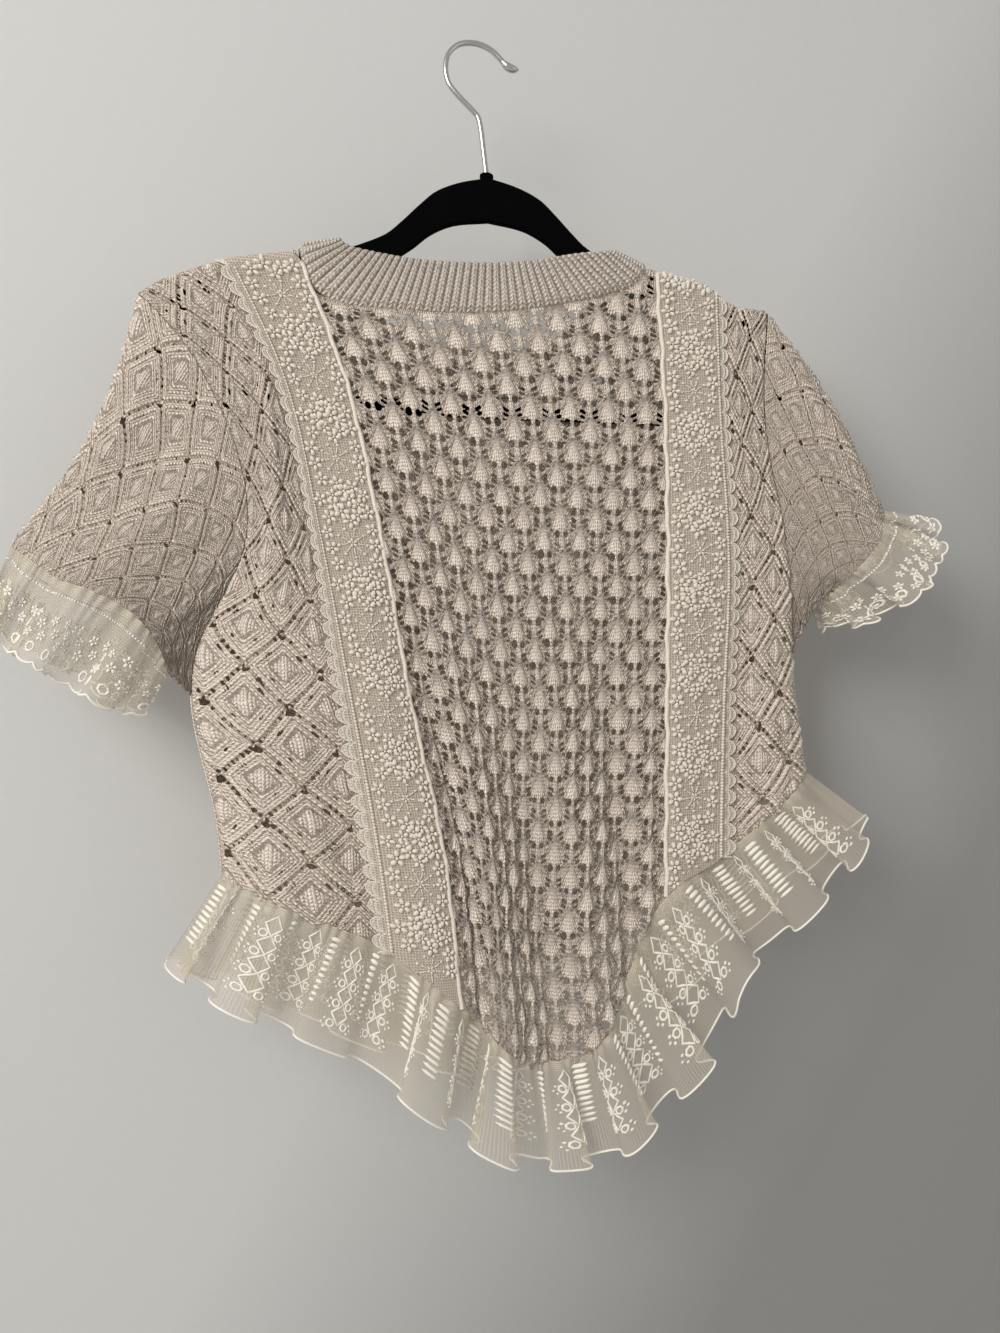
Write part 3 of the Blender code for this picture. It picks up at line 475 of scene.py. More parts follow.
def capsule(x, y, x0, y0, slant, half_length, half_width):
    """How deep places lie inside a slot with round ends."""
    along = (x - x0) * math.cos(slant) + (y - y0) * math.sin(slant)
    aside = (y - y0) * math.cos(slant) - (x - x0) * math.sin(slant)
    return half_width - np.hypot(np.maximum(np.abs(along) - half_length + half_width, 0), aside)


def leaf_lace(u, v):
    """Relief, depth inside an opening and wale number at cloth places of the leaf lace."""
    column, row = (u - LEFT_CORD) / LEAF_PITCH_U, v / LEAF_PITCH_V
    base_i, base_j = np.floor(column), np.floor(row)
    relief = np.zeros_like(u)
    hole = np.full_like(u, -3.0)
    wale = u / OPEN_WALE
    nearest = np.full_like(u, 9.0)
    downs = [row[0] for row in LEAF_SHAPE]
    for di in (-1, 0, 1, 2):
        for dj in (-1, 0, 1, 2):
            i, j = base_i + di, base_j + dj
            leaf = (i + j) % 2 == 0
            x = u - LEFT_CORD - i * LEAF_PITCH_U - LEAF_SHIFT[0] * (chance(i, j, 1) - 0.5)
            y = v - j * LEAF_PITCH_V - LEAF_SHIFT[1] * (chance(i, j, 2) - 0.5)
            plump = LEAF_PLUMP[0] + LEAF_PLUMP[1] * chance(i, j, 3)
            half = np.interp(y, downs, [row[1] for row in LEAF_SHAPE])
            tall = np.interp(y, downs, [row[2] for row in LEAF_SHAPE]) * plump
            strand = np.arctan2(x, y + STRANDS_MEET) / STRAND_TURN
            ribbed = tall + STRAND_HEIGHT * np.cos(2 * math.pi * strand)
            dome = ribbed * np.sqrt(np.clip(1 - (x / half) ** 2, 0, 1))
            fan = leaf & (np.abs(strand) < FAN_STRANDS) & (y < LEAF_TO) & (np.abs(x) < FAN_REACH)
            relief = np.where(fan, np.maximum(relief, FAN_HEIGHT), relief)
            on_leaf = leaf & (y > LEAF_FROM) & (y < LEAF_TO)
            relief = np.where(on_leaf, np.maximum(relief, dome), relief)
            stem = STEM_HEIGHT * np.exp(-(x / STEM_WIDTH) ** 2)
            on_stem = leaf & (y > STEM_FROM) & (y < STEM_TO)
            relief = np.where(on_stem, np.maximum(relief, stem), relief)
            for start in RAIL_STARTS:
                rail = RAIL_HEIGHT * np.exp(-((np.abs(x) - 0.4 - RAIL_SLOPE * (y - start)) / 1.0) ** 2)
                on_rail = leaf & (y > start) & (y < start + RAIL_LENGTH)
                relief = np.where(on_rail, np.maximum(relief, rail), relief)
            for side in (-1, 1):
                mirrored = x * side
                opened = OPENED[0] + OPENED[1] * chance(i, j, 4 + side)
                out, down = (mirrored - EYELET[0]) / EYELET[2], (y - EYELET[1]) / EYELET[3]
                hole = np.where(leaf, np.maximum(hole, 2.0 * (1 - np.hypot(out, down) / opened)), hole)
                for out, down, length, width in SLITS:
                    slot = capsule(mirrored, y, out, down, SLIT_SLANT, length, width * opened)
                    hole = np.where(leaf, np.maximum(hole, slot), hole)
            apart = np.hypot(x, 0.8 * y)
            closer = leaf & (apart < nearest)
            below = np.where(y > 9, y - 2 * LEAF_PITCH_V, y)
            rung = (below + 13 - (4.4 - np.abs(x)) * 0.47) / 3.2
            knitted = np.where(np.abs(x) < 1.6, x / OPEN_WALE + 0.5, rung)
            knitted = np.where(fan, strand + 0.5, knitted)
            wale = np.where(closer, knitted, wale)
            nearest = np.where(closer, apart, nearest)
    lip = LIP_HEIGHT * np.exp(-((hole + LIP_INSET) / LIP_WIDTH) ** 2)
    return relief + lip, hole, wale


def cut_holes(hole, closed=False):
    """Faces of a grid with its openings cut out, and the grid edges on which their rims lie."""
    rows, columns = hole.shape
    index = np.arange(rows * columns).reshape(rows, columns)
    if closed:
        index = np.concatenate([index, index[:, :1]], axis=1)
    corners = np.stack([index[:-1, :-1], index[1:, :-1], index[1:, 1:], index[:-1, 1:]], -1)
    corners = corners.reshape(-1, 4)
    level = hole.ravel()
    opened = level[corners] > 0
    faces = corners[~opened.any(axis=1)].tolist()
    rim, ends = {}, []
    for ring in corners[opened.any(axis=1) & ~opened.all(axis=1)].tolist():
        face = []
        for here, there in zip(ring, ring[1:] + ring[:1]):
            if level[here] <= 0:
                face.append(here)
            if (level[here] > 0) != (level[there] > 0):
                key = (min(here, there), max(here, there))
                if key not in rim:
                    rim[key] = rows * columns + len(ends)
                    ends.append(key)
                face.append(rim[key])
        faces.append(face)
    return faces, np.array(ends, int).reshape(-1, 2)


def knit_piece(name, base, normal, relief, hole, stitch, material, closed=False, slub=0.0):
    """A piece of knitting: a grid of places raised by its relief, with its openings cut out.

    slub is how unevenly its yarn stands up, stitch by stitch.
    """
    rows, columns = np.indices(hole.shape)
    relief = relief + slub * (chance(columns, rows, 8) - 0.5)
    hole = hole + 0.6 * slub * (chance(columns, rows, 9) - 0.5)
    towards = np.cross(base[1:, :-1] - base[:-1, :-1], base[:-1, 1:] - base[:-1, :-1])
    inverted = np.sum(towards * normal[:-1, :-1]) < 0
    faces, ends = cut_holes(hole, closed)
    level = hole.ravel()
    share = np.clip(level[ends[:, 0]] / (level[ends[:, 0]] - level[ends[:, 1]]), 0.04, 0.96)[:, None]

    def with_rims(values):
        values = values.reshape(hole.size, -1)
        return np.concatenate([values, values[ends[:, 0]] * (1 - share) + values[ends[:, 1]] * share])

    points = with_rims(base + normal * relief[..., None])
    cloth = with_rims(np.stack([stitch[0], stitch[1], relief], -1))
    used = np.unique(np.concatenate([np.array(face) for face in faces]))
    renumber = np.full(len(points), -1)
    renumber[used] = np.arange(len(used))
    faces = [[int(renumber[k]) for k in (face[::-1] if inverted else face)] for face in faces]
    mesh = mesh_of(name, points[used], faces)
    corner = np.zeros(len(mesh.loops), int)
    mesh.loops.foreach_get("vertex_index", corner)
    mesh.uv_layers.new(name="stitches").uv.foreach_set("vector", cloth[used][corner, :2].ravel())
    mesh.attributes.new("relief", "FLOAT", "POINT").data.foreach_set("value", cloth[used][:, 2])
    return shown(name, mesh, material)


def stitch_group():
    """Knitted stitches on a piece's own map: their height, and their brightness, which paints shade into
    the gaps and highlights onto the crowns of the yarn.

    Grain is how rough the yarn is. Lift is the piece's relief, from which a painted highlight brightens its
    crowns and painted shade darkens its hollows.
    """
    group = bpy.data.node_groups.new("knitted_stitches", "ShaderNodeTree")
    for name, kind in (("Grain", "NodeSocketFloat"), ("Lift", "NodeSocketFloat")):
        group.interface.new_socket(name, in_out="INPUT", socket_type=kind)
    for name in ("Height", "Brightness"):
        group.interface.new_socket(name, in_out="OUTPUT", socket_type="NodeSocketFloat")
    given = add(group, "NodeGroupInput")
    made = add(group, "NodeGroupOutput")
    uv = add(group, "ShaderNodeUVMap", uv_map="stitches").outputs[0]
    place = add(group, "ShaderNodeTexCoord").outputs["Object"]
    wander = add(group, "ShaderNodeTexNoise", {"Vector": place, "Scale": 420.0, "Detail": 2.0}).outputs[0]
    split = add(group, "ShaderNodeSeparateXYZ", {0: uv})
    across = calc(group, "ABSOLUTE", calc(group, "SUBTRACT", calc(group, "FRACT", split.outputs[0]), 0.5))
    leg = calc(group, "ADD", split.outputs[1], across)
    leg = calc(group, "ADD", leg, calc(group, "MULTIPLY", wander, 0.5))
    # Painted shade and highlight: the gaps between loops and between wales are drawn dark, the crowns of
    # the yarn bright.
    loops = calc(group, "COSINE", calc(group, "MULTIPLY", leg, 2 * math.pi))
    ridge = calc(group, "SINE", calc(group, "MULTIPLY", across, 2 * math.pi))
    body = calc(group, "MULTIPLY_ADD", loops, 0.34, 0.62)
    stitches = calc(group, "MULTIPLY", body, calc(group, "MULTIPLY_ADD", ridge, 0.90, 0.10))
    fuzz = add(group, "ShaderNodeTexNoise", {"Vector": place, "Scale": 620.0, "Detail": 4.0}).outputs[0]
    grained = calc(group, "MULTIPLY", calc(group, "SUBTRACT", fuzz, 0.5), given.outputs["Grain"])
    height = calc(group, "ADD", stitches, grained)
    # Painted light and shade: high relief is drawn brighter and low ground darker.
    lifted = calc(group, "MULTIPLY_ADD", given.outputs["Lift"], 0.19, -0.12)
    bright = calc(group, "ADD", calc(group, "MULTIPLY", height, 1.4), lifted, clamp=True)
    group.links.new(height, made.inputs["Height"])
    group.links.new(bright, made.inputs["Brightness"])
    return group


STITCHES = stitch_group()


def knit_finish(name, yarn, shade, grain, depth):
    """Matt cotton yarn with painted shade in the gaps of its stitches and in its hollows, and painted
    highlights on its crowns.

    A trace of warm emission stands for the light that comes through the cotton.
    """
    material, shader = new_finish(name, Roughness=0.95, Specular_IOR_Level=0.25, Sheen_Weight=0.10,
                                  Emission_Color=COTTON_GLOW, Emission_Strength=0.03)
    tree = material.node_tree
    lift = add(tree, "ShaderNodeAttribute", attribute_name="relief").outputs["Fac"]
    stitches = add(tree, "ShaderNodeGroup", node_tree=STITCHES)
    stitches.inputs["Grain"].default_value = grain
    tree.links.new(lift, stitches.inputs["Lift"])
    colour = blended(tree, stitches.outputs["Brightness"], shade, yarn)
    tree.links.new(colour, shader.inputs["Base Color"])
    bumped(tree, shader, stitches.outputs["Height"], 0.9, depth)
    return material


def panel_grid(panel, left, right, size):
    """Cloth places on a grid between two wales, from the upper cut edge to the hem."""
    u = np.linspace(left, right, size[0])
    top, hem = panel.top(u), panel.hem(u) + HEM_POINTS * np.sin(2 * math.pi * u / LEAF_PITCH_U)
    v = top + (hem - top) * np.linspace(0, 1, size[1])[:, None]
    return np.broadcast_to(u, v.shape), v


knit = knit_finish("cotton_lace_knit", WARM_YARN, YARN_SHADE, 1.0, 0.0018)

u, v = panel_grid(BACK, LEFT_CORD, RIGHT_CORD, LEAF_GRID)
# The columns stand evenly between the cords as they hang. Near the hem they follow the cloth again.
x, x_left, x_right = (BACK.xz(at + 0 * u, v)[..., 0] for at in (u, LEFT_CORD, RIGHT_CORD))
even = LEFT_CORD + (RIGHT_CORD - LEFT_CORD) * (x - x_left) / (x_right - x_left)
drawn_in = np.clip((EVEN_DOWN_TO - v) / EVEN_FADE, 0, 1)
relief, hole, wale = leaf_lace(u + (even - u) * drawn_in, v)
inside = np.minimum(np.minimum(u - LEFT_CORD - PLAIN_SIDE, RIGHT_CORD - PLAIN_SIDE - u),
                    np.minimum(v - BACK.top(u) - PLAIN_TOP, BACK.hem(u) - v - PLAIN_HEM))
hole = np.minimum(hole, inside)
relief *= np.clip(inside / 3.0 + 0.6, 0, 1)
back_centre = knit_piece("back_leaf_lace", BACK.surface(u, v), BACK.normals(u, v), relief, hole,
                         (wale, v / ROW_HEIGHT), knit, slub=YARN_SLUB)
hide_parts("back_centre")


def cut_size(panel, left, right):
    """A panel's flat cut in metres: its width and length, and its area."""
    u = np.linspace(left, right, 200)
    tall = panel.hem(u) - panel.top(u)
    length = panel.hem(u).max() - panel.top(u).min()
    return ((right - left) * MM, length * MM), float(tall.mean() * (right - left) * MM**2)


flat, area = cut_size(BACK, LEFT_CORD, RIGHT_CORD)

# ================================================================ back, sides
# Each side of the back is lozenge lace: diamonds edged by twin ribs with a ladder between them,
# and a small leaf with a spine inside each. The panels run under the lace bands to the armholes.
LOZENGE = (16.5, 24.0)
TWIN_RIBS = (
    # height, distance from the diamond's edge, width
    (2.9, 2.2, 1.0),
    (1.7, 5.2, 0.9),
)
LADDER_STEP = 3.3
LADDER_OPEN = (0.30, 0.85)
CROSSING_OPEN = (1.1, 1.1)
# height, share of the way out to the diamond's corners, width in such shares
LOZENGE_RIM = (1.3, 0.50, 0.08)
LOZENGE_LEAF = (2.0, 0.42)
SPINE_HEIGHT, SPINE_REACH = 1.2, 0.62
LOZENGE_SLOTS = (
    # out and down as shares of the half diamond, slant, half length, half width
    (0.40, -0.36,  1.0, 2.6, 0.7),
    (0.30,  0.30, -1.0, 1.9, 0.6),
)
SIDE_WALE = 3.0
SIDE_GRID = (98, 322)


def lozenge_lace(x, y):
    """Relief, depth inside an opening and wale number at cloth places of the lozenge lace."""
    half_u, half_v = LOZENGE
    scale = 2 * half_u * half_v / math.hypot(half_u, half_v)
    x = x + 2.2 * np.sin(y / 31.0) + 0.8 * np.sin(y / 9.0 + x / 13.0)
    y = y + 1.8 * np.sin(x / 19.0) + 0.7 * np.sin(x / 7.0 - y / 15.0)
    p, q = 0.5 * (x / half_u + y / half_v), 0.5 * (x / half_u - y / half_v)
    from_p, from_q = np.abs(p - np.round(p)) * scale, np.abs(q - np.round(q)) * scale
    nearest = np.minimum(from_p, from_q)
    along = np.where(from_p < from_q, q, p) * scale
    ribs = sum(height * np.exp(-((nearest - out) / width) ** 2) for height, out, width in TWIN_RIBS)
    step = np.round(along / LADDER_STEP)
    rung = np.abs(along / LADDER_STEP - step) * LADDER_STEP
    ladder = LADDER_OPEN[0] + LADDER_OPEN[1] * chance(step, np.round(p) + 3 * np.round(q), 6)
    ladder = ladder - np.hypot(np.maximum(nearest - 0.35, 0), rung)
    node_x, node_y = (np.round(p) + np.round(q)) * half_u, (np.round(p) - np.round(q)) * half_v
    bold = chance(np.round(p), np.round(q), 5)
    eyelet = (CROSSING_OPEN[0] + CROSSING_OPEN[1] * bold) - np.hypot(x - node_x, 0.9 * (y - node_y - 3.2))
    cell_x = x - (np.floor(p) + np.floor(q) + 1) * half_u
    cell_y = y - (np.floor(p) - np.floor(q)) * half_v
    ring = np.abs(cell_x) / half_u + np.abs(cell_y + 1.5) / half_v
    rim = LOZENGE_RIM[0] * np.exp(-((ring - LOZENGE_RIM[1]) / LOZENGE_RIM[2]) ** 2)
    leaf = LOZENGE_LEAF[0] * np.clip(1 - ring / LOZENGE_LEAF[1], 0, 1) ** 0.5
    spine = np.where(ring < SPINE_REACH, SPINE_HEIGHT * np.exp(-(cell_x / 1.0) ** 2), 0.0)
    hole = np.maximum(eyelet, ladder)
    for out, down, slant, length, width in LOZENGE_SLOTS:
        slot = capsule(np.abs(cell_x), cell_y, out * half_u, down * half_v, slant, length, width)
        hole = np.maximum(hole, slot)
    off_node = np.clip((np.hypot(x - node_x, y - node_y) - 2) / 4, 0, 1)
    relief = np.maximum(ribs * off_node, np.maximum(rim, leaf + spine))
    wale = np.where(ring < 0.40, cell_x / SIDE_WALE, nearest / SIDE_WALE + 0.27)
    return relief, hole, wale


def side_panel(name, node, left, right, under):
    """A side of the back in lozenge lace, plain where it runs under the lace band.

    under holds u of the band's cord and of the end of the plain strip.
    """
    u, v = panel_grid(BACK, left, right, SIDE_GRID)
    relief, hole, wale = lozenge_lace(u - under[1] + 4, v)
    inside = np.minimum(np.minimum(u - left - 2.0, right - 2.0 - u),
                        np.minimum(v - BACK.top(u) - 3.0, BACK.hem(u) - v - 3.0))
    covered = np.clip((np.abs(u - under[0]) - abs(under[1] - under[0]) - 1.0) / 3.0, 0, 1)
    hole = np.minimum(hole, np.minimum(inside, covered * 4 - 2.0))
    relief *= covered * np.clip(inside / 3.0 + 0.7, 0, 1)
    side = knit_piece(name, BACK.surface(u, v), BACK.normals(u, v), relief, hole,
                      (wale, v / ROW_HEIGHT), knit, slub=YARN_SLUB)
    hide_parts(node)
    flat, area = cut_size(BACK, left, right)
    return side


back_left = side_panel("back_lozenge_lace_left", "back_side_left",
                       0.0, LEFT_CORD - 0.1, (LEFT_CORD, 57.5))
back_right = side_panel("back_lozenge_lace_right", "back_side_right",
                        RIGHT_CORD + 0.1, WIDTH, (RIGHT_CORD, 386.5))

# ================================================================ front
# The front isn't seen in the photograph. It is one plain closed panel of the same knit, with a
# lower neck, creased much as the back is. A ridge of yarn at each side sews it to the back.
FRONT_WALES = (
    # name            u   v_hem   z0    x0   x100  x200  x300  x400  x500
    ("left side",     0,   428,  -148, -236, -170, -142, -176, -160, -154),
    ("left neck",    98,   446,  -136, -122, -106,  -94,  -90,  -84,  -80),
    ("centre",      215,   470,  -136,    4,    6,   10,   16,   22,   28),
    ("right neck",  332,   428,  -136,  122,  122,  124,  126,  130,  136),
    ("right side",  430,   346,  -136,  206,  200,  217,  226,  241,  248),
)
FRONT_TOP = (
    # x, z
    (-216, -181), (-197, -167), (-177, -158), (-153, -150), (-130, -145.5), (-112, -143),
    (-109.5, -149), (-104.5, -166), (-86.5, -195), (-70, -208), (-51, -218), (-25, -223.5), (5, -225.5),
    (36, -223.5), (61, -218), (80, -207), (94.5, -194.5), (111, -166), (116.5, -148), (119.5, -141),
    (134, -142.5), (160, -150), (184, -160), (206, -161),
)
FRONT_FOLDS = (
    # name                 u_top u_low v_from v_to width depth
    ("left fold",             96, 120,  210, 490,  18,   5.0),
    ("left trough",          150, 168,  250, 490,  16,  -4.5),
    ("middle ridge",         214, 206,  230, 500,  20,   5.5),
    ("right trough",         262, 258,  260, 490,  15,  -5.0),
    ("right fold",           318, 330,  190, 430,  18,   5.0),
    ("left crease",           60,  74,  120, 400,   8,   2.0),
    ("neck crease",          240, 232,  110, 300,   9,   1.6),
    ("right crease",         372, 366,  120, 330,   8,   2.0),
)
FRONT_GRID = (238, 190)
SEAM_RIDGE = 1.5
SEAM_POINTS = 120
SEAM_SIDES = 8
FRONT = Panel(FRONT_WALES, FRONT_TOP, FRONT_FOLDS, 2, (99.0, 331.0), 1.0)

u, v = panel_grid(FRONT, 0.0, WIDTH, FRONT_GRID)
relief, hole, wale = lozenge_lace(u - WIDTH / 2, v)
inside = np.minimum(np.minimum(u, WIDTH - u) - 5.0,
                    np.minimum(v - FRONT.top(u) - 6.0, FRONT.hem(u) - v - 3.0))
relief *= 0.8 * np.clip((np.minimum(u, WIDTH - u) - 1.0) / 4.0, 0, 1)
front = knit_piece("front_panel", FRONT.surface(u, v), FRONT.normals(u, v), relief,
                   np.minimum(hole, inside), (wale, v / ROW_HEIGHT), knit, slub=YARN_SLUB)
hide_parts("front")
flat, area = cut_size(FRONT, 0.0, WIDTH)


def side_seam(name, edge, underarm):
    """The ridge of yarn where front and back meet, from the underarm down to the hem."""
    v = np.linspace(underarm, float(BACK.hem(np.array([edge]))[0]) - 1.0, SEAM_POINTS)
    u = np.full_like(v, edge)
    line = 0.5 * (BACK.surface(u, v) + FRONT.surface(u, v))
    turns = np.arange(SEAM_SIDES) * math.pi / 4
    ring = np.stack([np.cos(turns), np.sin(turns), 0 * turns], 1)
    base = line[:, None] + 0.01 * ring
    counted = np.arange(SEAM_POINTS)
    ends = np.sqrt(np.clip(np.minimum(counted, counted[::-1]) / 3.0, 0.01, 1))
    relief = SEAM_RIDGE * ends[:, None] * np.ones(SEAM_SIDES)
    stitch = (np.arange(SEAM_SIDES) / 4 + 0 * relief, v[:, None] / ROW_HEIGHT + 0 * relief)
    seam = knit_piece(name, base, np.broadcast_to(ring, base.shape), relief, 0 * relief - 1,
                      stitch, knit, closed=True)
    return seam


seams = [side_seam("side_seam_left", 0.0, 311.0), side_seam("side_seam_right", WIDTH, 261.0)]

# ================================================================ sleeves
# Short sleeves of the same lozenge lace, sewn to the armhole and gathered a little to the cuff.
# They hang flattened, creased down from the shoulder.
SLEEVES = (
    # cuff and edge_line are x, z of the cuff seam and of the frill's edge, from the shoulder fold to
    # the underarm. round and long size the knit's pattern. flat and area are the guessed cut of the
    # sleeve in metres, and frill that of its frill in millimetres. They don't follow the form here.
    {
        "side": "left", "edge": 0.0, "arm_from": 40.5, "arm_to": 312.0, "out": -1,
        "cuff": ((-281, -333), (-266, -343), (-250, -354), (-230, -361), (-208, -374),
                 (-196, -391), (-190, -408)),
        "edge_line": ((-298, -374), (-288, -390), (-268, -402), (-246, -416), (-225, -430),
                      (-214, -434), (-206, -434)),
        "cuff_depth": 24, "edge_depth": 32, "top_sag": (10, -5), "round": 420.0, "long": 165.0,
        "flat": (0.545, 0.19), "area": 0.062, "frill": (500.0, 46.0), "grid": (165, 135),
    },
    {
        "side": "right", "edge": 430.0, "arm_from": 27.0, "arm_to": 262.0, "out": 1,
        "cuff": ((289, -298), (278, -308), (268, -321), (257, -336), (248, -349), (242, -357),
                 (237, -362)),
        "edge_line": ((322, -308), (319, -322), (309, -337), (298, -351), (284, -364), (270, -374),
                      (254, -380)),
        "cuff_depth": 38, "edge_depth": 50, "top_sag": (4, 8), "round": 400.0, "long": 150.0,
        "flat": (0.47, 0.18), "area": 0.048, "frill": (390.0, 38.0), "grid": (138, 118),
    },
)
SLEEVE_RELIEF = 0.8
SLEEVE_CLOSER = 0.25
RING_FOLD = 0.04
ARMHOLE_GAP = 0.3
SLEEVE_CREASES = (
    # share round from the shoulder, width of it, height
    (0.10, 0.035, 4.0),
    (0.24, 0.05, -3.0),
    (0.40, 0.04, 3.5),
    (0.58, 0.05, -2.5),
    (0.76, 0.04, 2.5),
)


def ring_of(line, depth, shares):
    """A flattened ring round a line of x, z: down its back layer and up its front one."""
    swell = depth * np.sin(math.pi * (shares + RING_FOLD) / (1 + 2 * RING_FOLD))
    xz = line_through(line, shares)
    back = np.stack([xz[:, 0], -swell, xz[:, 1]], 1)
    front = np.stack([xz[:, 0], swell, xz[:, 1]], 1)
    return np.concatenate([back, front[::-1]])


def grid_normals(points, closed):
    """Unit normals of a grid of points, rows first, whose columns may close into a ring."""
    if closed:
        across = np.roll(points, -1, axis=1) - np.roll(points, 1, axis=1)
    else:
        across = np.gradient(points, axis=1)
    normal = np.cross(across, np.gradient(points, axis=0))
    return normal / np.maximum(np.linalg.norm(normal, axis=2, keepdims=True), 1e-9)


def sleeve_surface(spec, shares, rings):
    """A sleeve's rings of places, from the armhole to the cuff seam."""
    v = spec["arm_from"] + (spec["arm_to"] - spec["arm_from"]) * shares
    u = np.full_like(v, spec["edge"])
    back, front = BACK.surface(u, v), FRONT.surface(u, v)
    along = np.gradient(back, axis=0)
    outward = np.stack([-along[:, 2], np.zeros_like(v), along[:, 0]], 1)
    outward *= spec["out"] / np.linalg.norm(outward, axis=1, keepdims=True)
    arm = np.concatenate([back + outward * ARMHOLE_GAP, (front + outward * ARMHOLE_GAP)[::-1]])
    cuff = ring_of(spec["cuff"], spec["cuff_depth"], shares)
    upper = np.concatenate([(1 - shares) ** 2, ((1 - shares) ** 2)[::-1]])[:, None]
    sag = np.array([spec["top_sag"][0], 0.0, spec["top_sag"][1]])
    return np.array([arm * (1 - w) + cuff * w + sag * upper * math.sin(math.pi * w)
                     for w in np.linspace(0, 1, rings)])


for spec in SLEEVES:
    shares = np.linspace(0, 1, spec["grid"][0])
    base = sleeve_surface(spec, shares, spec["grid"][1])
    normal = grid_normals(base, True)
    outwards = np.sign(np.sum(normal[:, :, 1] * base[:, :, 1]))
    normal = normal * outwards
    round_share = np.concatenate([shares, shares[::-1]])
    w = np.linspace(0, 1, spec["grid"][1])[:, None]
    for middle, width, height in SLEEVE_CREASES:
        swell = height * np.sin(math.pi * np.clip(w * 1.1, 0, 1))
        bulge = swell * np.exp(-((round_share - middle) / width) ** 2)
        base = base + normal * bulge[..., None]
    x = np.concatenate([shares, 2 - shares[::-1]])[None, :] * spec["round"] / 2 + 0 * w
    y = w * spec["long"] + 0 * x
    relief, hole, wale = lozenge_lace(x + 5 * spec["out"], y + 7)
    hole = np.minimum(hole, np.minimum(y - 4.0, spec["long"] - 4.0 - y))
    hole = np.minimum(hole, 6.0 * np.minimum(round_share, 1 - round_share)[None, :] * 10 - 2)
    sleeve = knit_piece("sleeve_" + spec["side"] + "_lace", base, normal,
                        SLEEVE_RELIEF * relief, hole - SLEEVE_CLOSER,
                        (wale, y / ROW_HEIGHT), knit, closed=True, slub=YARN_SLUB)
    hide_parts("sleeve_" + spec["side"])

# ================================================================ neckband
# The neck is finished with a band of ribbing, one plain stitch and one purl, sewn on all round.
RIBS = 100
RIB_SAMPLES = 8
BAND_TALL = 27.0
BAND_ROWS = 12
RIB_RELIEF = 2.2
RIB_SUNK = 0.9
NECKBAND = (
    # sewn edge x, y, z        free edge x, y, z
    (-108.0,  0.0, -139.0,    -85.0,  0.0, -134.5),
    (-107.0, -4.6, -144.5,    -85.5, -4.0, -136.0),
    (-103.6, -6.0, -159.0,    -80.0, -6.0, -140.0),
    (-88.0,  -6.6, -171.5,    -66.0, -6.5, -143.0),
    (-48.0,  -7.0, -174.4,    -38.0, -7.0, -146.0),
    (3.0,    -7.0, -173.4,      5.0, -7.0, -145.5),
    (52.0,   -7.0, -165.4,     42.0, -7.0, -141.0),
    (92.0,   -6.6, -155.0,     70.0, -6.5, -134.5),
    (108.0,  -5.8, -148.0,     87.0, -6.0, -131.5),
    (114.0,  -3.6, -140.0,     94.0, -3.6, -130.0),
    (116.0,   0.0, -136.5,     96.0,  0.0, -129.5),
    (114.5,   4.6, -146.0,     95.0,  4.6, -137.0),
    (109.0,   6.0, -164.0,     86.0,  6.0, -154.0),
    (92.0,    7.0, -192.0,     72.0,  7.0, -174.0),
    (60.0,    7.5, -216.0,     48.0,  7.5, -192.0),
    (5.0,     8.0, -224.0,      5.0,  8.0, -197.0),
    (-50.0,   7.5, -216.0,    -38.0,  7.5, -192.0),
    (-84.0,   7.0, -193.0,    -63.0,  7.0, -174.0),
    (-102.0,  6.0, -164.0,    -78.0,  6.0, -154.0),
    (-107.5,  4.6, -148.0,    -84.0,  4.4, -140.0),
)
# the band is knitted double
RIB_SLUB = 0.25
SEAM_LAP = 3.4
BAND_EDGE = 1.6
RIB_YARN = (0.72, 0.68, 0.62, 1.0)


def loop_through(points, count):
    """Evenly spaced points on a smooth closed curve."""
    points = np.asarray(points, float)
    closed = np.concatenate([points[-2:], points, points[:3]])
    runs = runs_along(closed)
    return through(runs, closed, np.linspace(runs[2], runs[2 + len(points)], count, endpoint=False))


stations = loop_through(NECKBAND, RIBS * RIB_SAMPLES)
sewn, free = stations[:, :3], stations[:, 3:]
rise = (free - sewn) / np.linalg.norm(free - sewn, axis=1, keepdims=True)
sewn = sewn - rise * SEAM_LAP
flat = grid_normals(np.stack([sewn, free]), True)[0]
# share of the band's height and side, from the seam up the outside, over the edge and down again
profile = [(0.0, -0.7), (0.05, 0.1)]
profile += [(share, 0.9) for share in np.linspace(0.12, 1, BAND_ROWS)]
profile += [(1.03, 0.55), (1.045, 0.0), (1.03, -0.55)]
profile += [(share, -0.9) for share in (1.0, 0.8, 0.5, 0.2)]
base = np.array([sewn * (1 - share) + free * share + flat * BAND_EDGE * side
                 for share, side in profile])
normal = np.array([flat * np.sign(side + 0.01) for share, side in profile])
rib_phase = np.arange(RIBS * RIB_SAMPLES) / RIB_SAMPLES
bar = np.abs(np.cos(math.pi * rib_phase)) ** 1.1
fade = np.array([min(1.0, 0.25 + 3 * share) * (1.0 if side > 0 else 0.3) for share, side in profile])
relief = (RIB_RELIEF * bar[None, :] - RIB_SUNK) * fade[:, None]
ribbing = knit_finish("cotton_ribbing", RIB_YARN, YARN_SHADE, 1.0, 0.0018)
rows = np.array([share * BAND_TALL for share, _ in profile])[:, None] + 0 * rib_phase
stitch = (0 * rows + rib_phase + 0.5, rows / ROW_HEIGHT)
neckband = knit_piece("ribbed_neckband", base, normal, relief, np.full_like(relief, -1.0),
                      stitch, ribbing, closed=True, slub=RIB_SLUB)
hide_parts("neckband")

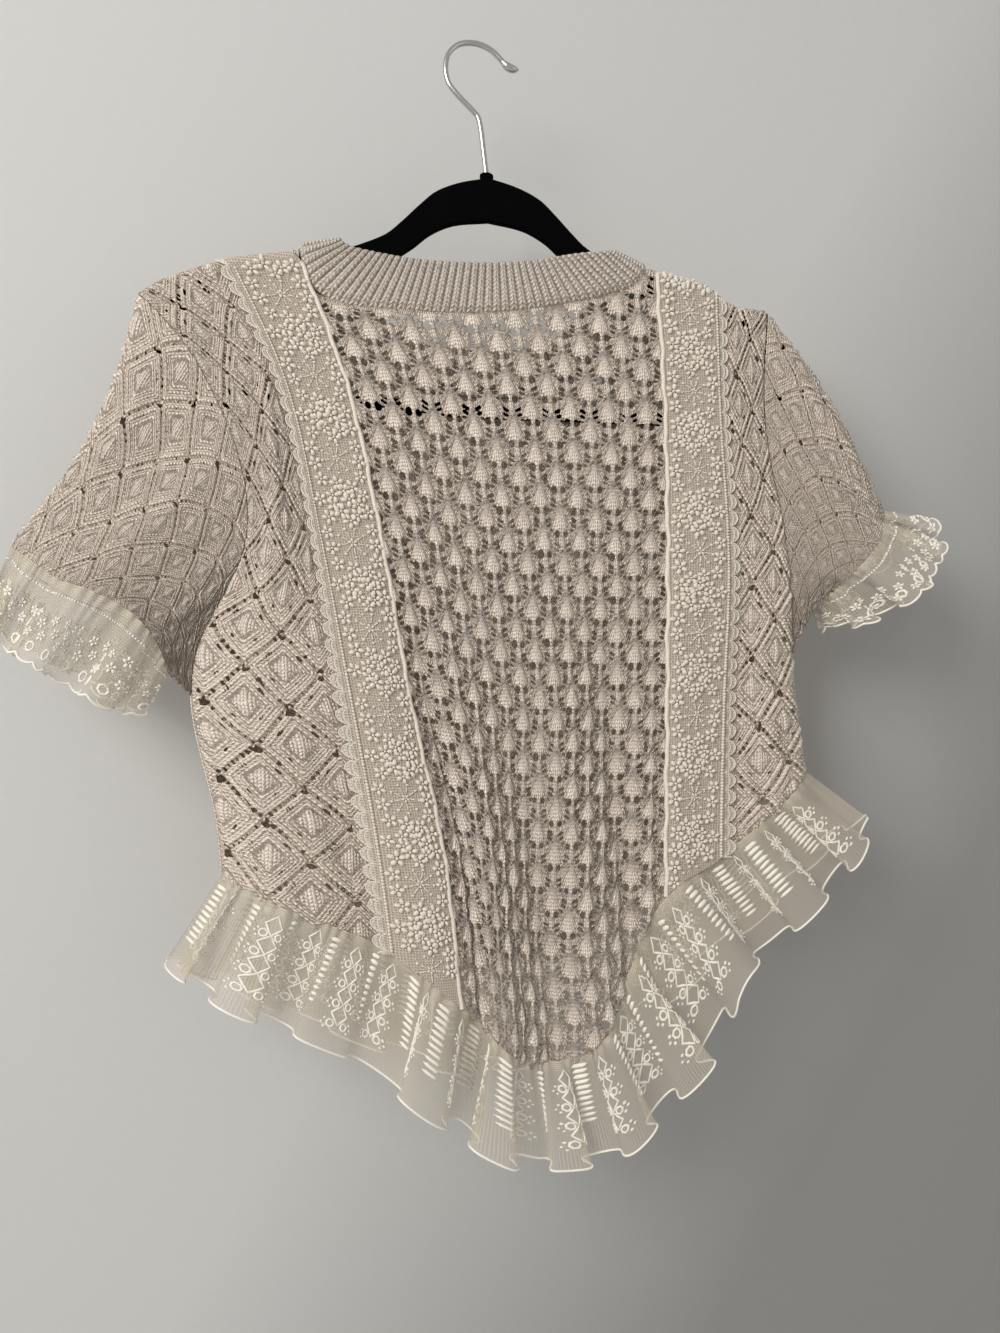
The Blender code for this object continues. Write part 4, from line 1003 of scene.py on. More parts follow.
# ================================================================ lace bands
# Two strips of floral tulle lace cover the joins of the back. Each has a corded inner edge, raised
# flowers, a line of picot beads and a scalloped outer edge, and is sewn flat over the knitting.
SCALLOP = 11.0
SCALLOP_DEPTH = 9.0
BAND_LIFT = 2.2
BAND_GRID = (44, 330)
BANDS = (
    # side, cord u, picot u, outwards, start below the shoulder
    ("left", 106.4, 66.0, -1, 3.0),
    ("right", 337.6, 378.0, 1, 3.0),
)
CLUSTER = 54.0
LACE_THREAD = (0.93, 0.86, 0.75, 1.0)
LACE_NET = (0.85, 0.755, 0.635, 1.0)
# NET_HOLE is the colour of the painted shade in the lace net's gaps.
NET_HOLE = (0.42, 0.34, 0.26, 1.0)
# THREAD_SHADE, like SATIN_SHADE below, is the colour of the painted shade between a thread's strands.
THREAD_SHADE = (0.48, 0.41, 0.33, 1.0)
CORD_RADIUS = 1.5
SCALLOP_THREAD = 0.42
BAND_FLAT = 0.82
SCALLOP_LOW, SCALLOP_POWER = 0.30, 0.55
BELOW_HEM = 18
FLOWERS = (
    # share across the band, distance along it
    (0.17, 11), (0.34, 18), (0.56, 16), (0.79, 14), (0.18, 23), (0.42, 26), (0.66, 24), (0.87, 27),
    (0.16, 34), (0.34, 36), (0.58, 34), (0.78, 38), (0.84, 4), (0.14, 1), (0.15, 45), (0.86, 48),
    (0.48, 21), (0.30, 29), (0.66, 30), (0.46, 40),
)
WREATH = 9
LOOSE_BUDS = 62


def net_group():
    """A hexagon net of fine thread on a piece's own map: how much thread covers each place."""
    group = bpy.data.node_groups.new("thread_net", "ShaderNodeTree")
    group.interface.new_socket("Pitch", in_out="INPUT", socket_type="NodeSocketFloat")
    group.interface.new_socket("Thread", in_out="OUTPUT", socket_type="NodeSocketFloat")
    given = add(group, "NodeGroupInput")
    made = add(group, "NodeGroupOutput")
    uv = add(group, "ShaderNodeUVMap", uv_map="stitches").outputs[0]
    cells = add(group, "ShaderNodeVectorMath", {0: uv}, operation="SCALE")
    group.links.new(calc(group, "DIVIDE", 1.0, given.outputs["Pitch"]), cells.inputs["Scale"])
    feed = {"Vector": cells.outputs[0], "Scale": 1.0, "Randomness": 0.25}
    edge = add(group, "ShaderNodeTexVoronoi", feed,
               feature="DISTANCE_TO_EDGE", voronoi_dimensions="2D").outputs["Distance"]
    thread = calc(group, "SUBTRACT", 1.0, calc(group, "MULTIPLY", edge, 3.4, clamp=True))
    group.links.new(thread, made.inputs["Thread"])
    return group


NET = net_group()


def lace_finish(name, thread, net, gap, pitch):
    """Opaque lace ground: net over the knitting, drawn in its thread with painted shade in the gaps
    between.
    """
    material, shader = new_finish(name, Roughness=0.85, Sheen_Weight=0.15)
    tree = material.node_tree
    mesh_net = add(tree, "ShaderNodeGroup", {"Pitch": pitch}, node_tree=NET)
    raised = add(tree, "ShaderNodeAttribute", attribute_name="relief").outputs["Fac"]
    place = add(tree, "ShaderNodeTexCoord").outputs["Object"]
    grain = add(tree, "ShaderNodeTexNoise", {"Vector": place, "Scale": 1300.0, "Detail": 3.0}).outputs[0]
    # Painted shade: the net's gaps take the dark NET_HOLE colour.
    ground = blended(tree, mesh_net.outputs[0], gap, net)
    filled = calc(tree, "MULTIPLY", raised, 1.1, clamp=True)
    colour = blended(tree, filled, ground, thread)
    speckle = calc(tree, "MULTIPLY_ADD", grain, 0.5, 0.72, clamp=True)
    tree.links.new(blended(tree, speckle, gap, colour), shader.inputs["Base Color"])
    height = calc(tree, "ADD", mesh_net.outputs[0], grain)
    bumped(tree, shader, height, 0.9, 0.0009)
    return material


def thread_finish(name, colour, shade, roughness):
    """Embroidery thread with a soft lustre, and painted shade between its strands."""
    material, shader = new_finish(name, Roughness=roughness, Sheen_Weight=0.3, Sheen_Roughness=0.4)
    tree = material.node_tree
    place = add(tree, "ShaderNodeTexCoord").outputs["Object"]
    strands = add(tree, "ShaderNodeTexNoise", {"Vector": place, "Scale": 1700.0, "Detail": 2.0}).outputs[0]
    # Painted shade: noise darkens the thread between its strands.
    lit = calc(tree, "MULTIPLY_ADD", strands, 1.6, -0.25, clamp=True)
    tree.links.new(blended(tree, lit, shade, colour), shader.inputs["Base Color"])
    bumped(tree, shader, strands, 0.5, 0.0004)
    return material


def motif_tree():
    """Geometry nodes that set a motif on every mark, turned and sized by the marks' own values."""
    tree = bpy.data.node_groups.new("motifs_on_marks", "GeometryNodeTree")
    for name, direction, kind in (("Geometry", "INPUT", "Geometry"), ("Motif", "INPUT", "Object"),
                                  ("Size Spread", "INPUT", "Float"), ("Turn Spread", "INPUT", "Float"),
                                  ("Seed", "INPUT", "Int"), ("Thread", "INPUT", "Material"),
                                  ("Geometry", "OUTPUT", "Geometry")):
        tree.interface.new_socket(name, in_out=direction, socket_type="NodeSocket" + kind)
    given = add(tree, "NodeGroupInput")
    motif = add(tree, "GeometryNodeObjectInfo", {"Object": given.outputs["Motif"]})
    turn = add(tree, "GeometryNodeInputNamedAttribute", {"Name": "turn"}, data_type="FLOAT").outputs[0]
    size = add(tree, "GeometryNodeInputNamedAttribute", {"Name": "size"}, data_type="FLOAT").outputs[0]
    spin = add(tree, "FunctionNodeRandomValue", {"Seed": given.outputs["Seed"]}, data_type="FLOAT")
    tree.links.new(calc(tree, "MULTIPLY", given.outputs["Turn Spread"], -1.0), spin.inputs[2])
    tree.links.new(given.outputs["Turn Spread"], spin.inputs[3])
    grow = add(tree, "FunctionNodeRandomValue", {"Seed": given.outputs["Seed"]}, data_type="FLOAT")
    tree.links.new(calc(tree, "SUBTRACT", 1.0, given.outputs["Size Spread"]), grow.inputs[2])
    tree.links.new(calc(tree, "ADD", 1.0, given.outputs["Size Spread"]), grow.inputs[3])
    angle = add(tree, "ShaderNodeCombineXYZ", {2: calc(tree, "ADD", turn, spin.outputs[1])}).outputs[0]
    set_on = add(tree, "GeometryNodeInstanceOnPoints", {"Points": given.outputs["Geometry"]})
    tree.links.new(motif.outputs["Geometry"], set_on.inputs["Instance"])
    rotation = add(tree, "FunctionNodeEulerToRotation", {0: angle}).outputs[0]
    tree.links.new(rotation, set_on.inputs["Rotation"])
    tree.links.new(calc(tree, "MULTIPLY", size, grow.outputs[1]), set_on.inputs["Scale"])
    real = add(tree, "GeometryNodeRealizeInstances", {"Geometry": set_on.outputs[0]})
    painted = add(tree, "GeometryNodeSetMaterial", {"Geometry": real.outputs[0],
                                                    "Material": given.outputs["Thread"]})
    add(tree, "NodeGroupOutput", {"Geometry": painted.outputs[0]})
    return tree


MOTIFS = motif_tree()
PETAL_SIDES = 6
CORD_SIDES = 6


def motif_object(name, points, faces):
    """An object that holds a motif for the geometry nodes to set."""
    mesh = bpy.data.meshes.new(name)
    mesh.from_pydata(points, [], faces)
    motif = bpy.data.objects.new(name, mesh)
    bpy.context.scene.collection.objects.link(motif)
    return motif


def dome_motif(name, rings, petals):
    """A motif with a low flat-topped dome over each petal's outline.

    petals holds each outline's centre, radii, turn and height.
    """
    points, faces = [], []
    for x0, y0, long, wide, turn, tall in petals:
        start = len(points)
        for share, height in rings:
            for k in range(PETAL_SIDES):
                a = math.pi * k / 3
                px, py = long * share * math.cos(a), wide * share * math.sin(a)
                points.append((x0 + px * math.cos(turn) - py * math.sin(turn),
                               y0 + px * math.sin(turn) + py * math.cos(turn), tall * height))
        for j in range(len(rings) - 1):
            low = start + PETAL_SIDES * j
            high = low + PETAL_SIDES
            for k in range(PETAL_SIDES):
                n = (k + 1) % PETAL_SIDES
                faces.append([low + k, low + n, high + n, high + k])
        top_ring = start + PETAL_SIDES * (len(rings) - 1)
        faces.append([top_ring + k for k in range(PETAL_SIDES)])
        faces.append([start + k for k in range(PETAL_SIDES - 1, -1, -1)])
    return motif_object(name, points, faces)


# share of the petal's radii and of its height, from the bottom up
DOME = ((1.0, -0.25), (0.62, 1.0))


def embroidered(name, groups, lay, material):
    """Set motifs on marks in the flat cloth, then lay the result on the cloth's own surface.

    groups holds rows of marks (across, along, turn, size), a motif, its spreads and a seed.
    """
    sockets = {item.name: item.identifier for item in MOTIFS.interface.items_tree
               if item.in_out == "INPUT"}
    points, faces = [], []
    for marks, motif, size_spread, turn_spread, seed in groups:
        marks = np.array(marks, float)
        mesh = bpy.data.meshes.new(name + "_marks")
        mesh.from_pydata(np.c_[marks[:, :2], np.zeros(len(marks))].tolist(), [], [])
        for column, label in ((2, "turn"), (3, "size")):
            mesh.attributes.new(label, "FLOAT", "POINT").data.foreach_set("value", marks[:, column])
        holder = bpy.data.objects.new(name + "_marks", mesh)
        bpy.context.scene.collection.objects.link(holder)
        modifier = holder.modifiers.new("motifs", "NODES")
        modifier.node_group = MOTIFS
        for label, value in (("Motif", motif), ("Size Spread", size_spread), ("Turn Spread", turn_spread),
                             ("Seed", seed), ("Thread", material)):
            modifier[sockets[label]] = value
        evaluated = holder.evaluated_get(bpy.context.evaluated_depsgraph_get())
        made = bpy.data.meshes.new_from_object(evaluated)
        flat_points = np.zeros(len(made.vertices) * 3)
        made.vertices.foreach_get("co", flat_points)
        start = sum(len(p) for p in points)
        points.append(flat_points.reshape(-1, 3))
        faces += [[start + k for k in polygon.vertices] for polygon in made.polygons]
        bpy.data.objects.remove(holder)
    return shown(name, mesh_of(name, lay(np.concatenate(points)), faces), material)


lace_ground = lace_finish("tulle_lace_ground", LACE_THREAD, LACE_NET, NET_HOLE, 1.7)
lace_thread = thread_finish("raised_lace_thread", LACE_THREAD, THREAD_SHADE, 0.8)
petals = [(2.1 * math.cos(a), 2.1 * math.sin(a), 1.75, 1.15, a, 1.1)
          for a in np.arange(5) * 2 * math.pi / 5]
floret = dome_motif("floret", DOME, petals + [(0, 0, 0.8, 0.8, 0, 1.2)])
bud = dome_motif("bud", DOME, [(0, 0, 1.3, 1.1, 0, 1.0)])
picot = dome_motif("picot", DOME, [(0, 0, 1.35, 1.0, 0, 1.3)])
stalk = dome_motif("stalk", DOME, [(0, 0, 3.6, 0.5, 0, 0.7)])


def cord_along(name, line, radius, material, closed=False):
    """A fine cord, six-sided, along a line of places on the cloth."""
    ahead = np.roll(line, -1, axis=0) - np.roll(line, 1, axis=0)
    if not closed:
        ahead[0], ahead[-1] = line[1] - line[0], line[-1] - line[-2]
    ahead /= np.linalg.norm(ahead, axis=1, keepdims=True)
    aside = np.cross(ahead, np.array([0.0, 1.0, 0.0]))
    aside /= np.linalg.norm(aside, axis=1, keepdims=True)
    third = np.cross(ahead, aside)
    turns = np.arange(CORD_SIDES) * math.pi / 3
    ring = aside[:, None] * np.cos(turns)[:, None] + third[:, None] * np.sin(turns)[:, None]
    points = line[:, None] + radius * ring
    count = len(line)
    faces = []
    for k in range(count if closed else count - 1):
        here, ahead_ring = CORD_SIDES * k, CORD_SIDES * ((k + 1) % count)
        for c in range(CORD_SIDES):
            n = (c + 1) % CORD_SIDES
            faces.append([here + c, here + n, ahead_ring + n, ahead_ring + c])
    if not closed:
        last_ring = CORD_SIDES * (count - 1)
        faces += [list(range(CORD_SIDES)), [last_ring + c for c in range(CORD_SIDES - 1, -1, -1)]]
    return shown(name, mesh_of(name, points.reshape(-1, 3), faces), material)


def band_marks(cord, edge, outwards, v_from, v_to):
    """Marks of the flowers, buds and stalks of a lace band."""
    flowers, buds, stalks = [], [], []
    width = abs(edge - cord)
    count = int((v_to - v_from) // CLUSTER) + 1
    for k in range(-1, count + 1):
        middle_v = v_from + 24 + k * CLUSTER
        for n in range(WREATH):
            a = 2 * math.pi * n / WREATH + 0.2
            across, along = math.cos(a), math.sin(a)
            stalks.append((0.50 * width + 5.0 * across, middle_v + 5.4 * along, a, 0.9))
            buds.append((0.50 * width + 8.8 * across, middle_v + 9.2 * along, 0.0, 1.0))
        flowers.append((0.50 * width, middle_v, 0.3, 0.8))
        for across, along in FLOWERS:
            flowers.append((across * width, middle_v + along, along * 0.7, 1.4))
        for n in range(LOOSE_BUDS):
            across, along = width * chance(n, k, 21), middle_v + CLUSTER * chance(n, k, 22)
            buds.append((across, along, 3 * chance(n, k, 23), 0.5))
    kept = []
    for marks in (flowers, buds, stalks):
        inside = [m for m in marks if 3.2 < m[0] < width - 2.4 and v_from + 3 < m[1] < v_to - 4]
        turned = [m[2] if outwards > 0 else math.pi - m[2] for m in inside]
        kept.append([(cord + outwards * m[0], m[1], turn, m[3]) for m, turn in zip(inside, turned)])
    return kept


def above_hem(marks):
    """The marks that lie on the back, clear of its hem."""
    return [m for m in marks if m[1] < float(BACK.hem(np.array([m[0]]))[0]) - 4]


for side, cord, edge, outwards, start in BANDS:
    count, rows = BAND_GRID
    reach = abs(edge - cord)
    share = np.linspace(0, 1, count)
    u0 = cord + outwards * reach * np.clip(share / BAND_FLAT, 0, 1)
    top, hem = BACK.top(u0) + start, BACK.hem(u0) - 0.5
    along = np.linspace(0, 1, rows)[:, None]
    v = top + (hem - top) * along
    wave = np.abs(np.sin(math.pi * v / SCALLOP)) ** SCALLOP_POWER
    depth = SCALLOP_DEPTH * (SCALLOP_LOW + 0.70 * wave)
    u = u0 + outwards * np.clip((share - BAND_FLAT) / 0.18, 0, 1) * depth
    from_cord = np.abs(u - cord)
    beyond = from_cord - reach
    cord_ridge = 1.7 * np.exp(-((from_cord - 1.3) / 1.1) ** 2)
    rim = np.where(beyond > 0, 0.8 * np.exp(-((beyond - depth + 0.9) / 0.8) ** 2), 0.0)
    inner = np.where(beyond > 0, 0.6 * np.exp(-((beyond - depth * 0.55) / 0.7) ** 2), 0.0)
    hollow = np.where(beyond < -2, 0.5 * np.sin(math.pi * np.clip(from_cord / reach, 0, 1)), 0.0)
    relief = cord_ridge + rim + inner + hollow
    normal = BACK.normals(u, v)
    settle = BAND_LIFT * (1 - 0.35 * np.clip(beyond / SCALLOP_DEPTH, 0, 1))
    base = BACK.surface(u, v) + normal * settle[..., None]
    marked = np.where(hollow > 0, 0.0, relief)
    band = knit_piece("lace_band_" + side + "_ground", base, normal, marked, np.full_like(v, -1.0),
                      (from_cord, v), lace_ground)
    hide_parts("lace_band_" + side)

    def on_band(flat_points):
        across, along_v, height = flat_points.T
        normal = BACK.normals(across, along_v)
        return BACK.surface(across, along_v) + normal * (BAND_LIFT + 0.1 + height)[:, None]

    v_from = float(BACK.top(np.array([cord]))[0]) + start
    v_to = float(BACK.hem(np.array([edge]))[0])
    flowers, buds, stalks = map(above_hem, band_marks(cord, edge, outwards, v_from, v_to + BELOW_HEM))
    pearls = [(edge, y, math.pi / 2, 1.0) for y in np.arange(v_from + 8, v_to - 2, 2.1)]
    flowers_piece = embroidered(
        "lace_flowers_" + side,
        [(flowers, floret, 0.12, 0.6, 3), (buds, bud, 0.15, 0.5, 5),
         (stalks, stalk, 0.1, 0.0, 7), (pearls, picot, 0.12, 0.2, 9)],
        on_band, lace_thread)
    v_cord = np.linspace(float(v[0, 0]), float(v[-1, 0]), 220)
    u_cord = cord + 0.5 * np.sin(v_cord / 7.0) + 0.3 * np.sin(v_cord / 2.9)
    on_seam = BACK.surface(u_cord, v_cord) + BACK.normals(u_cord, v_cord) * 1.7
    cord_along("lace_band_" + side + "_cord", on_seam, CORD_RADIUS, lace_thread)
    v_edge = np.linspace(float(v[0, -1]), float(v[-1, -1]), 520)
    scallops = np.abs(np.sin(math.pi * v_edge / SCALLOP)) ** SCALLOP_POWER
    for label, share in (("edge", 1.0), ("arcs", 0.62)):
        u_edge = edge + outwards * SCALLOP_DEPTH * share * (SCALLOP_LOW + 0.70 * scallops)
        lift = BAND_LIFT * 0.75 + 0.3
        places = BACK.surface(u_edge, v_edge) + BACK.normals(u_edge, v_edge) * lift
        cord_along("lace_band_" + side + "_" + label, places, SCALLOP_THREAD, lace_thread)

# ================================================================ hem ruffle
# A deep ruffle of soft tulle is gathered under the hem all round. Ladders of satin bars and chains
# of rings are embroidered down it, and a fine cord finishes its wavy edge. It has a back and a
# front length.
HEM_EDGE = (
    # u      x     z of the free edge
    (0,    -192, -590),
    (33,   -130, -619),
    (66,    -72, -652),
    (106,   -26, -686),
    (160,     8, -708),
    (222,    50, -722),
    (265,    92, -715),
    (290,   122, -692),
    (310,   150, -666),
    (326,   164, -638),
    (338,   169, -612),
    (354,   180, -600),
    (378,   204, -588),
    (404,   244, -551),
    (430,   280, -512),
)
FRONT_DROP = 74.0
RUFFLE_FLARE = 7.0
HEM_FLUTES = 11
HEM_WAVE = 16.0
FLUTE_DRIFT = 0.30
FLUTE_UNEVEN = 0.22
FLUTE_AT_SEAM = 0.12
FLUTE_BULGE = 0.62
FLUTE_TIP = 0.30
FLUTE_FADE = 0.055
GATHERED_COVER = 0.35
HEM_GRID = (620, 31)
# estimated strip, between the lengths of the rows as built
HEM_CUT = (920.0, 70.0)
EDGE_CORD = 0.75
TULLE = (0.70, 0.625, 0.495, 1.0)
TULLE_SHADE = (0.50, 0.425, 0.315, 1.0)
SATIN = (0.97, 0.94, 0.85, 1.0)
SATIN_SHADE = (0.74, 0.68, 0.57, 1.0)


def flutes(base, edge, count, rows, wave, out, ends_closed):
    """A gathered frill between a base line and an edge line, waving more towards its edge."""
    columns = base.shape[0]
    share = np.linspace(0, 1, columns, endpoint=ends_closed)
    phase = 2 * math.pi * (count * share + FLUTE_DRIFT * np.sin(4 * math.pi * share))
    size = 1 - FLUTE_UNEVEN + FLUTE_UNEVEN * np.sin(6 * math.pi * share + 1.0)
    lean = FLUTE_TIP * np.sin(4 * math.pi * share + 0.6) * np.sin(phase) - FLUTE_BULGE * np.sin(2 * phase)
    if ends_closed:
        size = size * np.clip(np.minimum(share, 1 - share) / FLUTE_FADE, 0, 1)
        along = np.gradient(edge, axis=0)
    else:
        along = np.roll(edge, -1, axis=0) - np.roll(edge, 1, axis=0)
    along /= np.linalg.norm(along, axis=1, keepdims=True)
    layers = []
    for w in np.linspace(0, 1, rows):
        swell = wave * (FLUTE_AT_SEAM + (1 - FLUTE_AT_SEAM) * w**0.8) * size
        gather = 0.9 * np.sin(6 * phase + 2 * np.sin(phase)) * (1 - w) ** 1.5
        place = base + (edge - base) * w + out * (swell * np.sin(phase) + gather)[:, None]
        layers.append(place + along * (swell * lean)[:, None])
    return np.array(layers)


def back_edge(u):
    """Free edge of the back's ruffle, x and z."""
    return through([row[0] for row in HEM_EDGE], [row[1:] for row in HEM_EDGE], u)


def hem_ruffle_grid(panel):
    """Places of the ruffle under a panel's hem, gathered rows first."""
    u = np.linspace(0.0, WIDTH, 1200)
    runs = runs_along(panel.surface(u, panel.hem(u)))
    u = np.interp(np.linspace(0, runs[-1], HEM_GRID[0]), runs, u)
    base = panel.surface(u, panel.hem(u) - 1.5)
    if panel is BACK:
        xz = back_edge(u)
    else:
        sides = np.array([0.0, WIDTH])
        reach = back_edge(sides) - BACK.xz(sides, BACK.hem(sides))
        share = (u / WIDTH)[:, None]
        drop = reach[0] * (1 - share) + reach[1] * share
        belly = np.sin(math.pi * u / WIDTH)
        drop[:, 1] = drop[:, 1] * (1 - belly) - FRONT_DROP * belly
        xz = base[:, [0, 2]] + drop
    away = np.clip(np.minimum(u, WIDTH - u) / EDGE_ROUND, 0, 1)
    edge = np.stack([xz[:, 0], base[:, 1] + panel.towards * RUFFLE_FLARE * away, xz[:, 1]], 1)
    out = np.broadcast_to(np.array([0.0, panel.towards, 0.0]), base.shape)
    return flutes(base, edge, HEM_FLUTES, HEM_GRID[1], HEM_WAVE, out, True)


def tulle_finish(name, thread, shade, cover, pitch):
    """Fine tulle that shows some of what is behind it, thicker where it is gathered or hemmed, with painted
    shade between the threads of its net.
    """
    material, shader = new_finish(name, Roughness=0.7, Sheen_Weight=0.2)
    tree = material.node_tree
    mesh_net = add(tree, "ShaderNodeGroup", {"Pitch": pitch}, node_tree=NET)
    solid = add(tree, "ShaderNodeAttribute", attribute_name="relief").outputs["Fac"]
    thick = calc(tree, "MULTIPLY_ADD", mesh_net.outputs[0], 0.42, cover)
    alpha = calc(tree, "ADD", thick, solid, clamp=True)
    tree.links.new(alpha, shader.inputs["Alpha"])
    # Painted shade: the net's gaps take the darker TULLE_SHADE colour.
    tree.links.new(blended(tree, mesh_net.outputs[0], shade, thread), shader.inputs["Base Color"])
    bumped(tree, shader, mesh_net.outputs[0], 0.4, 0.0003)
    return material


def on_grid(grid, cut, closed=False):
    """A function that lays flat cloth places on a grid of places, its size given as the cut's."""
    rows, columns = grid.shape[:2]
    normal = grid_normals(grid, closed)
    outwards = np.sum(normal[..., 1] * grid[..., 1])
    normal = normal * (1.0 if outwards > 0 else -1.0)

    def lay(flat_points):
        across, down, height = flat_points.T
        steps = columns if closed else columns - 1
        a = across / cut[0] * steps
        a = np.mod(a, columns) if closed else np.clip(a, 0, columns - 1.001)
        b = np.clip(down / cut[1] * (rows - 1), 0, rows - 1.001)
        i, j = a.astype(int), b.astype(int)
        s, t = (a - i)[:, None], (b - j)[:, None]
        k = (i + 1) % columns
        placed = []
        for values in (grid, normal):
            placed.append((values[j, i] * (1 - s) + values[j, k] * s) * (1 - t)
                          + (values[j + 1, i] * (1 - s) + values[j + 1, k] * s) * t)
        return placed[0] + placed[1] * height[:, None]

    return lay


tulle = tulle_finish("soft_tulle", TULLE, TULLE_SHADE, 0.16, 1.3)
satin = thread_finish("satin_stitch", SATIN, SATIN_SHADE, 0.5)


def cord_motif(name, line, radius):
    """A closed line of cord, square in section, lying across the cloth."""
    line = np.array(line, float)
    ahead = np.roll(line, -1, axis=0) - np.roll(line, 1, axis=0)
    aside = np.stack([-ahead[:, 1], ahead[:, 0]], 1) / np.linalg.norm(ahead, axis=1, keepdims=True)
    points, faces = [], []
    for (x, y), (sx, sy) in zip(line, aside):
        points += [(x + sx * radius, y + sy * radius, 0), (x, y, radius),
                   (x - sx * radius, y - sy * radius, 0), (x, y, -radius)]
    for k in range(len(line)):
        n = (k + 1) % len(line)
        faces += [[4 * k + c, 4 * n + c, 4 * n + (c + 1) % 4, 4 * k + (c + 1) % 4] for c in range(4)]
    return motif_object(name, points, faces)


BAR = ((0.9, -1.0), (1.0, 0.2), (0.55, 1.0))
satin_bar = dome_motif("satin_bar", BAR, [(0, 0, 7.4, 1.55, 0, 0.9)])
circle = [(2.5 * math.cos(a), 2.5 * math.sin(a)) for a in np.arange(7) * 2 * math.pi / 7]
link = cord_motif("ring_link", circle, 0.8)
corners = [(0, -6.0), (2.4, -3.1), (5.2, 0), (2.4, 3.1), (0, 6.0), (-2.4, 3.1), (-5.2, 0), (-2.4, -3.1)]
diamond = cord_motif("diamond_link", corners, 0.75)
knot = dome_motif("knot", DOME, [(0, 0, 1.2, 1.1, 0, 0.8)])
COLUMN = 46.0
BAR_STEP = 3.9
CHAIN_STEP = 12


def ruffle_marks(cut, depth):
    """Marks of the ladders, chains and knots embroidered down a ruffle."""
    bars, links, diamonds, knots = [], [], [], []
    for k in range(int(cut / COLUMN)):
        x = 14 + k * COLUMN
        for n in range(int((depth - 26) // BAR_STEP)):
            bars.append((x, 7 + BAR_STEP * n, 0.0, 1.0 - 0.03 * n))
        x += COLUMN / 2
        for n in range(int((depth - 12) // CHAIN_STEP)):
            y = 12 + CHAIN_STEP * n
            diamonds.append((x, y, 0.0, 1.0))
            for side in (-1, 1):
                links.append((x + side * 4.4, y + 6.0, 0.0, 0.9))
                knots.append((x + side * 8.2, y + 4.2, 0.0, 0.9))
                knots.append((x + side * 9.6, y + 6.8, 0.0, 0.8))
                knots.append((x + side * 7.6, y + 9.0, 0.0, 0.8))
    return bars, links, diamonds, knots


for name, node, panel in (("hem_ruffle_back_tulle", "hem_ruffle_back", BACK),
                          ("hem_ruffle_front_tulle", "hem_ruffle_front", FRONT)):
    grid = hem_ruffle_grid(panel)
    rows, columns = grid.shape[:2]
    down = np.linspace(0, 1, rows)[:, None] + 0 * np.arange(columns)
    across = np.arange(columns) / (columns - 1) + 0 * down
    gathered = GATHERED_COVER * np.clip(1 - down / 0.12, 0, 1)
    normal = grid_normals(grid, False)
    ruffle = knit_piece(name, grid, normal, 0 * gathered, np.full_like(down, -1.0),
                        (across * HEM_CUT[0], down * HEM_CUT[1]), tulle)
    ruffle.data.attributes["relief"].data.foreach_set("value", gathered.ravel())
    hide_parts(node)
    bars, links, diamonds, knots = ruffle_marks(HEM_CUT[0] - 6, HEM_CUT[1])
    embroidery = embroidered(name.replace("tulle", "embroidery"),
                             [(bars, satin_bar, 0.08, 0.04, 1), (links, link, 0.05, 0.3, 2),
                              (diamonds, diamond, 0.05, 0.05, 3), (knots, knot, 0.15, 0.5, 4)],
                             on_grid(grid, HEM_CUT), satin)
    cord = cord_along(name.replace("tulle", "edge_cord"), grid[-1], EDGE_CORD, satin)

# ================================================================ cuff ruffles
# Each sleeve ends in a gathered tulle frill, with flower sprays, a stitched line and a scalloped
# edge. It is sewn into the cuff seam.
CUFF_FLUTES = 8
CUFF_WAVE = 9.5
CUFF_SCALLOP = 13.0
CUFF_SCALLOP_DEEP = 3.2
CUFF_GRID = (400, 22)
RUFFLE_GAP = 0.2
# from a spray's first flower to each of its flowers
SPRAY = ((0, 0), (7, 5), (-6, 7), (2, 12), (12, 11), (-11, 1))
SPRAY_STEP = 26
HEADER_STEP = 2.6

